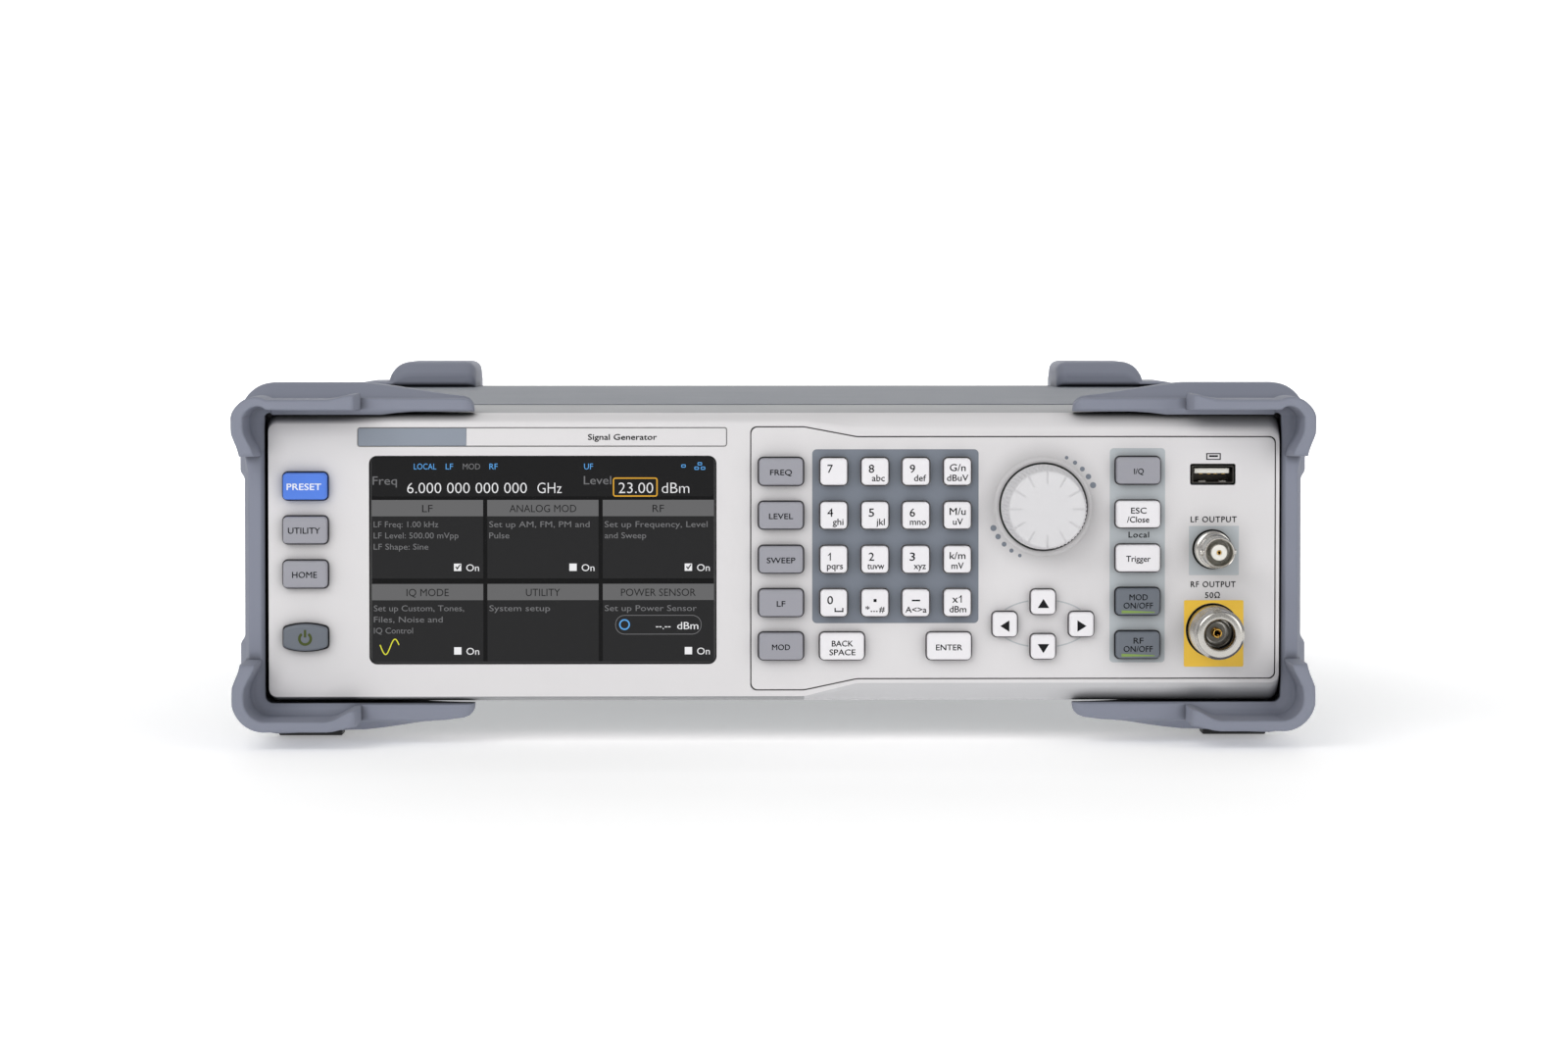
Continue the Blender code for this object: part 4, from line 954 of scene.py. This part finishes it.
def make_wave():
    """Make one period of a sine wave."""
    steps, half = 28, 0.17
    points = [Vector((-123.3 + 5.9 * step / steps,
                      30.9 - 2.4 * math.sin(2 * math.pi * step / steps - 0.25)))
              for step in range(steps + 1)]
    upper, lower = [], []
    for index, point in enumerate(points):
        along = (points[min(index + 1, steps)] - points[max(index - 1, 0)]).normalized() * half
        upper.append((point[0] - along[1], point[1] + along[0]))
        lower.append((point[0] + along[1], point[1] - along[0]))
    piece("screen_wave", SCREEN_WAVE, printed(upper + lower[::-1], TEXT_LAYER))


make_glass()
make_tiles()
make_readings()
make_status()
make_wave()

# ---------------------------------------------------------------------- bumpers
WRAP_HALF, WRAP_LOW, WRAP_HIGH = 160.1, 12.2, 106.4
WRAP_CORNER = 3.2                                   # corner of the contour they wrap round
EAR_REACH, EAR_ROUND = 16, 1.6
EAR_TIP_X = 129.5                                   # ears start here above and below
EAR_HIGH_Z, EAR_LOW_Z = 91.0, 26.7                  # and end here on the side
EAR_EDGE, EAR_STUB = 0.4, 0.3                       # a lip rises from its stub over the edge
FRONT_TIP_X = box("front_bumper_right")[0][0]
REAR_TIP_X = box("rear_bumper_right")[0][0]
LIP_LEAN = 9                                        # stretch over which a lip leans inwards
FOOT_RISE = 7.8                                     # rear stacking feet above their band
FOOT_SIDE = (140.5, 149.0)                          # their outer ends fall between these
FRONT_RADII = (0.4, 1.6, 0.7, 0.9, 1.4, 2.6, 3.0, 3.0, 2.0, 0.3, 0.3, 0.3, 0.3)
REAR_RADII = (0.3, 1.6, 2.6, 4.0, 2.4, 0.5, 0.3, 0.3, 0.3)


def zone(turn, top, side, bottom):
    """Blend a size by a turn: 0 on top, 1 on the side, 2 underneath."""
    low = min(int(turn), 1)
    values = (top, side, bottom)
    return values[low] * (low + 1 - turn) + values[low + 1] * (turn - low)


def share_of(value, low, high):
    """Return how far a value lies between two others, from 0 to 1."""
    return max(0.0, min(1.0, (value - low) / (high - low)))


def smooth(value, low, high):
    """Rise from 0 to 1 between two values with level ends."""
    share = share_of(value, low, high)
    return share * share * (3 - 2 * share)


def wrap_stations(runs, side_levels):
    """Return (x, z, outward, turn) stations round the left side, top tip to bottom tip."""
    def corner(z, first):
        for step in range(13):
            share = step / 12
            angle = math.pi / 2 * (first + share)
            outward = (-math.sin(angle), math.cos(angle))
            yield (WRAP_CORNER * (1 + outward[0]) - WRAP_HALF, z + outward[1] * WRAP_CORNER,
                   outward, first + share)

    return [*((-x, WRAP_HIGH, (0, 1), 0.0) for x in runs), *corner(WRAP_HIGH - WRAP_CORNER, 0),
            *((-WRAP_HALF, z, (-1, 0), 1.0) for z in side_levels),
            *corner(WRAP_LOW + WRAP_CORNER, 1),
            *((-x, WRAP_LOW, (0, -1), 2.0) for x in reversed(runs))]


def ear_reach(inside):
    """Return how far a lip stands forward, by the distance inside its rounded end."""
    if inside <= -EAR_EDGE:
        return EAR_STUB
    if inside < 0:
        return EAR_STUB + (EAR_REACH - EAR_ROUND) * (1 + inside / EAR_EDGE)
    left = max(0.0, EAR_ROUND - inside)
    return EAR_REACH - EAR_ROUND + math.sqrt(EAR_ROUND ** 2 - left ** 2)


def round_end(section, distance, radius):
    """Draw a section together near the end of its sweep, so the end is rounded."""
    if distance >= radius:
        return section
    inset = radius - math.sqrt(radius ** 2 - (radius - distance) ** 2)
    depths, offsets = zip(*section)
    low, high, base, top = min(depths), max(depths), min(offsets), max(offsets)
    middle, depth_share = (low + high) / 2, 1 - 2 * inset / (high - low)
    share = 1 - inset / (top - base)
    return [(middle + (depth - middle) * depth_share, base + (offset - base) * share)
            for depth, offset in section]


def front_section(x, z, turn):
    """Return the (depth, offset) section of a front bumper at one station."""
    on_side = smooth(1 - abs(turn - 1), 0.5, 1.0)
    run = share_of(-x, FRONT_TIP_X, EAR_TIP_X)
    tip = 0.6 * run + 0.4 * smooth(run, 0, 1)
    depth = 8 + 14 * smooth(-x, FRONT_TIP_X, EAR_TIP_X) + 38 * on_side
    under = 1.3 * (1 - smooth(-x, EAR_TIP_X, 158))
    hump = zone(turn, 7.1, 7.9, 9.6 - under) - zone(turn, 4.5, 4.5, 4.9) * (1 - tip)
    inside = -x - EAR_TIP_X
    if turn == 1:
        inside = max(z - EAR_HIGH_Z, EAR_LOW_Z - z)
    if turn % 1:
        inside = LIP_LEAN
    lean = 1 - smooth(inside, 0, LIP_LEAN)
    reach = ear_reach(inside)
    lip_in = zone(turn, -1.3, 3.6, 2.8) * (1 - lean) + zone(turn, -1.3, 0.2, -0.6) * lean
    lip_out = zone(turn, 2.2, 7.8, 6.4) * (1 - lean) + zone(turn, 3.8, 5.2, 4.8) * lean
    if inside <= -EAR_EDGE:
        lip_out = zone(turn, 2.2, 4.2, 4.4)
    lip_out = min(lip_out, hump - 0.3)
    if turn == 1:
        hump -= 1.4 * smooth(min(z - 31, 86 - z), 0, 3)
    valley = min(zone(turn, 1.9, 5.6, 5.2), hump - 0.2)
    step = smooth(-x, 115, 122)
    inner, front = zone(turn, -1.8, 0, -0.7), zone(turn, -1.9 - step, -0.9, -1.0)
    seam_depth, taper = 33, 28                      # the inner face meets the case at the seam
    seam = min(seam_depth, depth - 1)
    seam_inner = inner * (seam_depth - seam) / taper
    section = [(0.9, front), (-0.1, lip_in), (-reach, lip_in + 0.3), (-reach, lip_out),
               (1.0, lip_out + 0.2), (4.0, valley), (min(9, 0.62 * depth), hump),
               (depth - 3, hump), (depth, hump - 3),
               (depth, seam_inner if depth < seam_depth else 0.0), (seam, seam_inner),
               (5.5, inner), (3, front)]
    return round_end(rounded(section, FRONT_RADII, 3), -x - FRONT_TIP_X, 3.4)


def rear_section(x, z, turn):
    """Return the (depth, offset) section of a rear bumper, depths behind the rear panel."""
    from_corner = min(z - WRAP_LOW, WRAP_HIGH - z)
    lap = 2.6 + 1.4 * smooth(max(from_corner, WRAP_HALF + x), 4, 10)
    hump = zone(turn ** 2.5 if turn < 1 else turn, 1.8, 7.9, 12.2)
    if turn < 1:
        hump += FOOT_RISE * math.sqrt(1 - share_of(-x, *FOOT_SIDE) ** 2)
    start, reach = -31, 16.5 - 8 * smooth(from_corner, 14, 18)
    front, back = min(4.8, hump - 0.9), min(5, hump + lap - 1)
    section = [(start + 1.5, 0), (start, 0.8), (start, hump - front), (start + front, hump),
               (reach - 6, hump), (reach, hump - back), (reach, -lap), (0.6, -lap), (0.6, 0)]
    return round_end(rounded(section, REAR_RADII, 3), -x - REAR_TIP_X, 4.0)


def make_bumper(node, stations, section, plane):
    """Sweep a changing section round one side of the case."""
    mirror = -1 if node.endswith("right") else 1
    widest = max(abs(corner[0]) for corner in box(node))
    rings = [[(mirror * max(-widest, x + outward[0] * offset), plane + depth,
               z + outward[1] * offset) for depth, offset in section(x, z, turn)]
             for x, z, outward, turn in stations]
    piece(node + "_shell", BUMPER, rings, stands_for=[node], sharp=42)


def make_bumpers():
    """Make the four corner bumpers."""
    near = (0.0, 0.12, 0.4, 0.9, 1.6, 3.0, 5.0, 7.0, 9.0)
    above, below = EAR_EDGE - 1e-7, EAR_EDGE + 1e-7     # the lip is a stub only past the edge
    runs = [FRONT_TIP_X + run for run in (0.0, 0.2, 0.7, 1.6, 3.4, 6, 9, 14, 19, 24, 29)]
    runs += [EAR_TIP_X - 2, EAR_TIP_X - below, *(EAR_TIP_X + run for run in near), 148]
    levels = [*(EAR_HIGH_Z + run for run in reversed(near)), EAR_HIGH_Z - above,
              86, 85.2, 84.5, 83.8, 83, 72, 58, 45, 34, 33.2, 32.5, 31.8, 31,
              EAR_LOW_Z + below, *(EAR_LOW_Z - run for run in near)]
    rear_runs = [*(REAR_TIP_X + run for run in (0.0, 0.3, 1.0, 2.2, 4.0, 10, 20)),
                 140.5, 142.5, 144.3, 145.8, 147, 147.9, 148.5, 148.85, 149, 152]
    rear_levels = (92, 91, 90, 89, 88, 75, 60, 45, 32, 31, 30, 29, 28)
    for side in ("left", "right"):
        make_bumper("front_bumper_" + side, wrap_stations(runs, levels), front_section, FACE)
        make_bumper("rear_bumper_" + side, wrap_stations(rear_runs, rear_levels), rear_section,
                    REAR)


make_bumpers()

# ---------------------------------------------------------------- case and chassis
SHEET = 1.2                                         # thickness of the sheet metal
LEGS = ("tilt_leg_left", "tilt_leg_right")
LEG_AXIS = next([value / MM for value in joint["pos_m"][1:]]
                for joint in frame["record"]["behaviour"]["joints"]
                if joint["name"] == "tilt_leg_left_fold")


def screw_head():
    """Return the mesh of a 5.6 mm pan head with a cross recess, facing +Z."""
    profile = ((2.8, 0), (2.8, 0.9), (2.65, 1.35), (2.2, 1.75), (1.4, 1.98), (0.6, 2.05))
    head = solid("tool_head", [[lift(circle(0, 0, radius, 28), up, "Z")
                                for radius, up in profile]])
    arm, half, taper = 1.5, 0.34, 0.75
    cross = [(half, half), (half, arm), (-half, arm), (-half, half), (-arm, half), (-arm, -half),
             (-half, -half), (-half, -arm), (half, -arm), (half, -half), (arm, -half),
             (arm, half)]
    cut(head, [[lift([(u * taper, v * taper) for u, v in cross], 0.7, "Z"), lift(cross, 3, "Z")]])
    data = head.data
    bpy.data.objects.remove(head)
    return data


SCREW_HEAD = screw_head()


def make_screws(name, places, way):
    """Set screw heads on a face at the given points, facing one way, each turned on a little."""
    turn = Vector((0, 0, 1)).rotation_difference(Vector(way)).to_matrix().to_4x4()

    def add(mesh):
        for index, place in enumerate(places):
            data = SCREW_HEAD.copy()
            data.transform(Matrix.Translation(Vector(place) * MM) @ turn
                           @ Matrix.Rotation(0.7 * index, 4, "Z"))
            add_data(mesh, data)

    piece(name, STEEL, add, slot="bright_metal")


def make_cover():
    """Make the folded cover with soft bends, side vents and its screws."""
    low, inner, under = box("top_cover")[0][2], CASE_HALF - SHEET, CASE_HIGH - SHEET
    corners = [(-CASE_HALF, low), (-inner, low), (-inner, under), (inner, under), (inner, low),
               (CASE_HALF, low), (CASE_HALF, CASE_HIGH), (-CASE_HALF, CASE_HIGH)]
    profile = rounded(corners, (0.3, 0.3, 1.4, 1.4, 0.3, 0.3, 2.6, 2.6))
    cover = piece("case_cover", COVER, slab(profile, SEAM + CLEAR, REAR),
                  stands_for=["top_cover"])
    vents = [slab(rectangle(20 + 5.4 * column, middle, 2.4, 18, 1.15, 3),
                  side * (CASE_HALF - 3), side * (CASE_HALF + 3), "X")
             for column in range(17) for middle in (47, 70) for side in (-1, 1)]
    cut(cover, vents)
    shade(cover.data)
    for side, name in ((-1, "left"), (1, "right")):
        make_screws("cover_screws_" + name,
                    [(side * (CASE_HALF - 0.3), y, 26) for y in (-60, 20, 100)], (side, 0, 0))


def make_chassis():
    """Make the bottom tray with soft bends, floor vents, leg brackets and their pins."""
    flange, top = CASE_HALF - SHEET - CLEAR, 34
    wall, floor = flange - SHEET, CASE_LOW + SHEET
    corners = [(-flange, top), (-flange, CASE_LOW), (flange, CASE_LOW), (flange, top),
               (wall, top), (wall, floor), (-wall, floor), (-wall, top)]
    profile = rounded(corners, (0.3, 2.4, 2.4, 0.3, 0.3, 1.3, 1.3, 0.3))
    tray = piece("chassis_tray", STEEL,
                 slab(profile, SEAM + CLEAR, box("bottom_chassis")[1][1]),
                 stands_for=["bottom_chassis"])
    cut(tray, [slab(rectangle(15 * column - 60, 34 * row - 60, 10, 2.6, 1.25, 3), CASE_LOW - 1,
                    floor + 1, "Z") for row in range(4) for column in range(9)])
    shade(tray.data)
    y, z = LEG_AXIS
    root, neck, base = SEAM + 0.9, CASE_LOW - 0.6, CASE_LOW + 0.3
    bracket = rounded([(root, base), (root, neck), (y - 4, neck), (y - 4, z - 3.6),
                       (y + 4, z - 3.6), (y + 4.2, z + 1), (y + 9, base)],
                      (0, 0.4, 0.4, 3.4, 3.4, 1, 0.3))
    thick, past = 2.5, 3.4                          # of a bracket; the pin beyond the leg
    parts = []
    for leg in LEGS:
        left, right = [corner[0] for corner in box(leg)]
        parts += [slab(bracket, left - CLEAR, left - CLEAR - thick, "X"),
                  slab(bracket, right + CLEAR, right + CLEAR + thick, "X"),
                  slab(circle(*LEG_AXIS, 1.95, 24), left - past, right + past, "X")]
    piece("leg_brackets", STEEL, *parts)
    make_screws("chassis_screws", [(x, y, base) for x in (-100, 0, 100) for y in (-110, 130)],
                (0, 0, -1))


def soften(target, width):
    """Round the sharp edges of a piece."""
    bevel = target.modifiers.new("Soften", "BEVEL")
    bevel.width = width * MM
    bevel.segments = 2
    bevel.limit_method = "ANGLE"
    bevel.angle_limit = math.radians(60)
    bevel.use_clamp_overlap = False
    bevel.miter_outer = "MITER_ARC"
    apply_modifiers(target)
    shade(target.data, 40)


def make_legs():
    """Make the two folding legs with softened edges, a ribbed sole and a pin hole."""
    profile = [(-5.0, -4.2), (-3.4, -6.0), (3.6, -6.0), (8.0, -3.2), (40.0, -3.2), (42.0, -1.5),
               (42.0, 2.6), (8.0, 3.4), (3.0, 5.0), (-2.8, 4.6), (-5.0, 2.0)]
    outline = rounded(shifted(profile, *LEG_AXIS),
                      (1.2, 0.5, 0.5, 2, 0.6, 0.8, 1.2, 3, 2, 2, 1.2), 3)
    for node in LEGS:
        left, right = [corner[0] for corner in box(node)]
        leg = piece(node + "_arm", BLACK, slab(outline, left, right, "X"), body=node,
                    stands_for=[node])
        soften(leg, 0.5)
        cut(leg, [slab(circle(*LEG_AXIS, 2.35, 32), left - 1, right + 1, "X"),
                  *(slab(rectangle(LEG_AXIS[0] + 14 + 5 * index, LEG_AXIS[1] - 3.4, 1.6, 1.6,
                                   0.5, 2), left + 2.5, right - 2.5, "X")
                    for index in range(5))])
        shade(leg.data, 35)


make_cover()
make_chassis()
make_legs()

# --------------------------------------------------------------------- rear panel
BACK = box("rear_panel")[1][1]                      # outer face of the rear panel
INLET_AT, FAN_AT = box_centre("mains_inlet"), box_centre("cooling_fan_frame")
REAR_BNC = {"REF IN": 34, "REF OUT": 10, "TRIG IN": -14, "PULSE OUT": -38}
REAR_BNC_Z = 84
LAN_AT, TYPE_B_AT = (-20, 30), (8, 28)
GROUND_AT, LOCK_AT = (-72, 30), (46, 27)


def tube(points, level, radius=0.75, closed=True, steps=10):
    """Return a round wire along points (x, z) at one level."""
    rings, last = [], len(points) - 1
    for index, point in enumerate(points):
        follow = points[0 if closed and index == last else min(index + 1, last)]
        before = points[index - 1 if closed or index else 0]
        along = (Vector(follow) - Vector(before)).normalized()
        rings.append([(point[0] - along[1] * u, level + v, point[1] + along[0] * u)
                      for u, v in circle(0, 0, radius, steps)])
    return loop(rings) if closed else rings


def make_rear_panel():
    """Make the rear panel with its openings, and print the socket names on it."""
    low, high = box("rear_panel")
    outline = rectangle(*box_centre("rear_panel"), high[0] - low[0], high[2] - low[2], 1.5)
    holes = [circle(*FAN_AT, 27.5, 72), rectangle(*INLET_AT, 28.4, 21.4, 2),
             rectangle(*LAN_AT, 16.4, 13.9, 0.5), rectangle(*TYPE_B_AT, 12.2, 11, 0.5),
             rectangle(*LOCK_AT, 7, 3, 1),
             *(circle(x, REAR_BNC_Z, 6.3, 40) for x in REAR_BNC.values()),
             *(rectangle(5.5 * column - 146, 68 + 10 * row, 2.4, 7, 1.15, 3)
               for column in range(12) for row in range(3))]
    piece("rear_sheet", STEEL, sheet([outline, *holes], low[1], high[1] - low[1], 0.12),
          stands_for=["rear_panel"])
    legends = [*((words, x, REAR_BNC_Z - 10.5) for words, x in REAR_BNC.items()),
               ("LAN", LAN_AT[0], LAN_AT[1] + 10), ("USB", TYPE_B_AT[0], TYPE_B_AT[1] + 9)]
    piece("rear_legends", INK, *(text(words, 2.2, x, z, BACK, back=True)
                                 for words, x, z in legends))
    make_screws("rear_screws", [(x, BACK - 0.2, z) for x in (low[0] + 12, -50, 60, high[0] - 12)
                                for z in (low[2] + 5, high[2] - 5)], (0, 1, 0))


def make_rear_sockets():
    """Make the rear BNC sockets, the network and USB sockets and the ground post."""
    barrel = [(6.9, -0.2), (6.2, 0.0), (4.85, 0.0), (4.85, 2.4), (5.3, 2.7), (5.3, 3.5),
              (4.85, 3.8), (4.8, 11.4), (4.55, 11.8), (4.2, 11.7), (4.1, 11.3), (4.1, 2.4),
              (1.2, 2.4), (1.2, -2.2)]
    metal, pins = [], []
    for x in REAR_BNC.values():
        at = (x, REAR_BNC_Z)
        metal += [loop(turned(at, barrel, 36, BACK)), slab(circle(*at, 7.3, 6), BACK, BACK + 1.9)]
        pins.append(turned(at, [(0.7, 1.8), (0.7, 9.0), (0.4, 9.6)], 16, BACK))
    post = [(3.6, 0), (3.6, 1.6), (2.6, 1.8), (2.6, 3.2), (4.4, 3.4), (4.6, 3.8), (4.6, 9.0),
            (4.2, 9.5), (1.6, 9.7)]
    metal.append(turned(GROUND_AT, post, 36, BACK))
    for at, outer, inner in ((LAN_AT, (16, 13.5), (12.2, 8.6)),
                             (TYPE_B_AT, (11.8, 10.6), (8.6, 7.8))):
        metal.append(band(rectangle(*at, *outer, 0.4, 3), rectangle(*at, *inner, 0.4, 3),
                          BACK - 12, BACK + 0.8))
    piece("rear_sockets", NICKEL, *metal)
    piece("rear_socket_pins", GOLD, *pins)
    piece("rear_socket_cores", BLACK, slab(rectangle(*LAN_AT, 13, 9.4), BACK - 12, BACK - 9),
          slab(rectangle(*TYPE_B_AT, 9.4, 8.6), BACK - 12, BACK - 9),
          slab(rectangle(*TYPE_B_AT, 5.4, 3.0, 0.3), BACK - 9.1, BACK - 0.8))


def make_mains_inlet():
    """Make the mains inlet: flange, shroud, three blades and two screws."""
    x, z = INLET_AT
    body, mouth, floor = (27.6, 20.6), (24.4, 16.8), REAR - 18
    piece("inlet_housing", BLACK,
          sheet([rectangle(x, z, 48, 26, 4, 8), rectangle(x, z, *mouth, 3, 6)], BACK + 0.3, 2.6,
                0.5),
          band(rectangle(x, z, *body, 3, 3), rectangle(x, z, *mouth, 3, 3), floor, BACK + 0.5),
          slab(rectangle(x, z, *body, 2), REAR - 26, floor), stands_for=["mains_inlet"])
    blades = []
    for across, up in ((-7, -2), (0, 2), (7, -2)):
        at = (x + across, z + up)
        outline, tip = rectangle(*at, 2, 4, 0.3, 2), rectangle(*at, 1.2, 3.0, 0.2, 2)
        blades.append([*slab(outline, REAR - 19, REAR - 8.5), lift(tip, REAR - 7)])
    piece("inlet_blades", NICKEL, *blades)
    make_screws("inlet_screws", [(x - 20, BACK + 2.6, z), (x + 20, BACK + 2.6, z)], (0, 1, 0))


def make_fan_guard():
    """Make the wire guard over the fan and its four screws."""
    level, spoke_lift, corner = BACK + 0.9, 1.2, 25 * math.sqrt(2)
    wires = [tube(circle(*FAN_AT, radius, 64), level) for radius in (7, 13, 19, 25)]
    screws = []
    for index in range(4):
        turn = math.radians(45 + 90 * index)
        spoke = [(FAN_AT[0] + reach * math.cos(turn), FAN_AT[1] + reach * math.sin(turn))
                 for reach in (6, (3.2 + corner) / 2, corner - 2.8, corner)]
        wires += [tube(spoke[:3], level + spoke_lift, closed=False),
                  tube(circle(*spoke[3], 3.0, 28), level)]
        screws.append((spoke[3][0], BACK, spoke[3][1]))
    piece("fan_guard", NICKEL, *wires)
    make_screws("fan_screws", screws, (0, 1, 0))


make_rear_panel()
make_rear_sockets()
make_mains_inlet()
make_fan_guard()


# -------------------------------------------- floor, light, camera (all in metres)
def add_object(name, data):
    """Put new data into the scene as an object."""
    made = bpy.data.objects.new(name, data)
    bpy.context.scene.collection.objects.link(made)
    return made


def make_stage():
    """Make the pale floor that runs up into a pale backdrop."""
    finish = surface("stage_white", None, (250, 250, 250), 0.7, grain=2, depth=0, vary=0.005,
                     glow=0.32)
    profile = [(-3.0, -0.0001), (2.0, -0.0001), (2.5, 0.06), (2.9, 0.25), (3.15, 0.6), (3.2, 1.1),
               (3.2, 3.2)]
    mesh = bmesh.new()
    rows = [[mesh.verts.new((x, y, z)) for y, z in profile] for x in (-4.0, 4.0)]
    for index in range(len(profile) - 1):
        mesh.faces.new((rows[0][index], rows[1][index], rows[1][index + 1], rows[0][index + 1]))
    data = bpy.data.meshes.new("floor")
    mesh.to_mesh(data)
    mesh.free()
    data.materials.append(finish)
    data.shade_smooth()
    add_object("floor", data)


def make_lights():
    """Light the unit softly from above and both sides, over a bright surround."""
    unit = (0, 0, 0.05)
    for name, place, aim, size, power in (
            ("key_light", (-0.9, -1.5, 1.05), unit, (1.4, 1.0), 14),
            ("fill_light", (1.4, -1.4, 0.7), unit, (1.2, 1.2), 7.6),
            ("top_light", (0, 0.3, 1.7), unit, (1.8, 1.4), 1.5),
            ("back_light", (0, 1.2, 2.2), (0, 3.2, 0.8), (3.0, 1.0), 60)):
        data = bpy.data.lights.new(name, "AREA")
        data.shape = "RECTANGLE"
        data.size, data.size_y = size
        data.energy = power
        lamp = add_object(name, data)
        lamp.location = place
        lamp.rotation_euler = (Vector(aim) - Vector(place)).to_track_quat("-Z", "Y").to_euler()
    world = bpy.data.worlds.new("surround")
    world.use_nodes = True
    world.node_tree.nodes["Background"].inputs["Color"].default_value = (1, 1, 1, 1)
    world.node_tree.nodes["Background"].inputs["Strength"].default_value = 0.36
    bpy.context.scene.world = world
    bpy.context.scene.view_settings.view_transform = "Standard"


def make_camera():
    """Place the camera in front of the unit, slightly above its middle."""
    distance, pitch, yaw = 1.150, math.radians(1.5), math.radians(0.72)
    data = bpy.data.cameras.new("camera")
    data.lens = 84.42
    data.sensor_width = 36
    data.shift_y = -0.0732
    camera = add_object("camera", data)
    camera.location = (-0.0113, FACE * MM - distance, 0.1357)
    camera.rotation_euler = (math.pi / 2 - pitch, 0, -yaw)
    bpy.context.scene.camera = camera


make_stage()
make_lights()
make_camera()
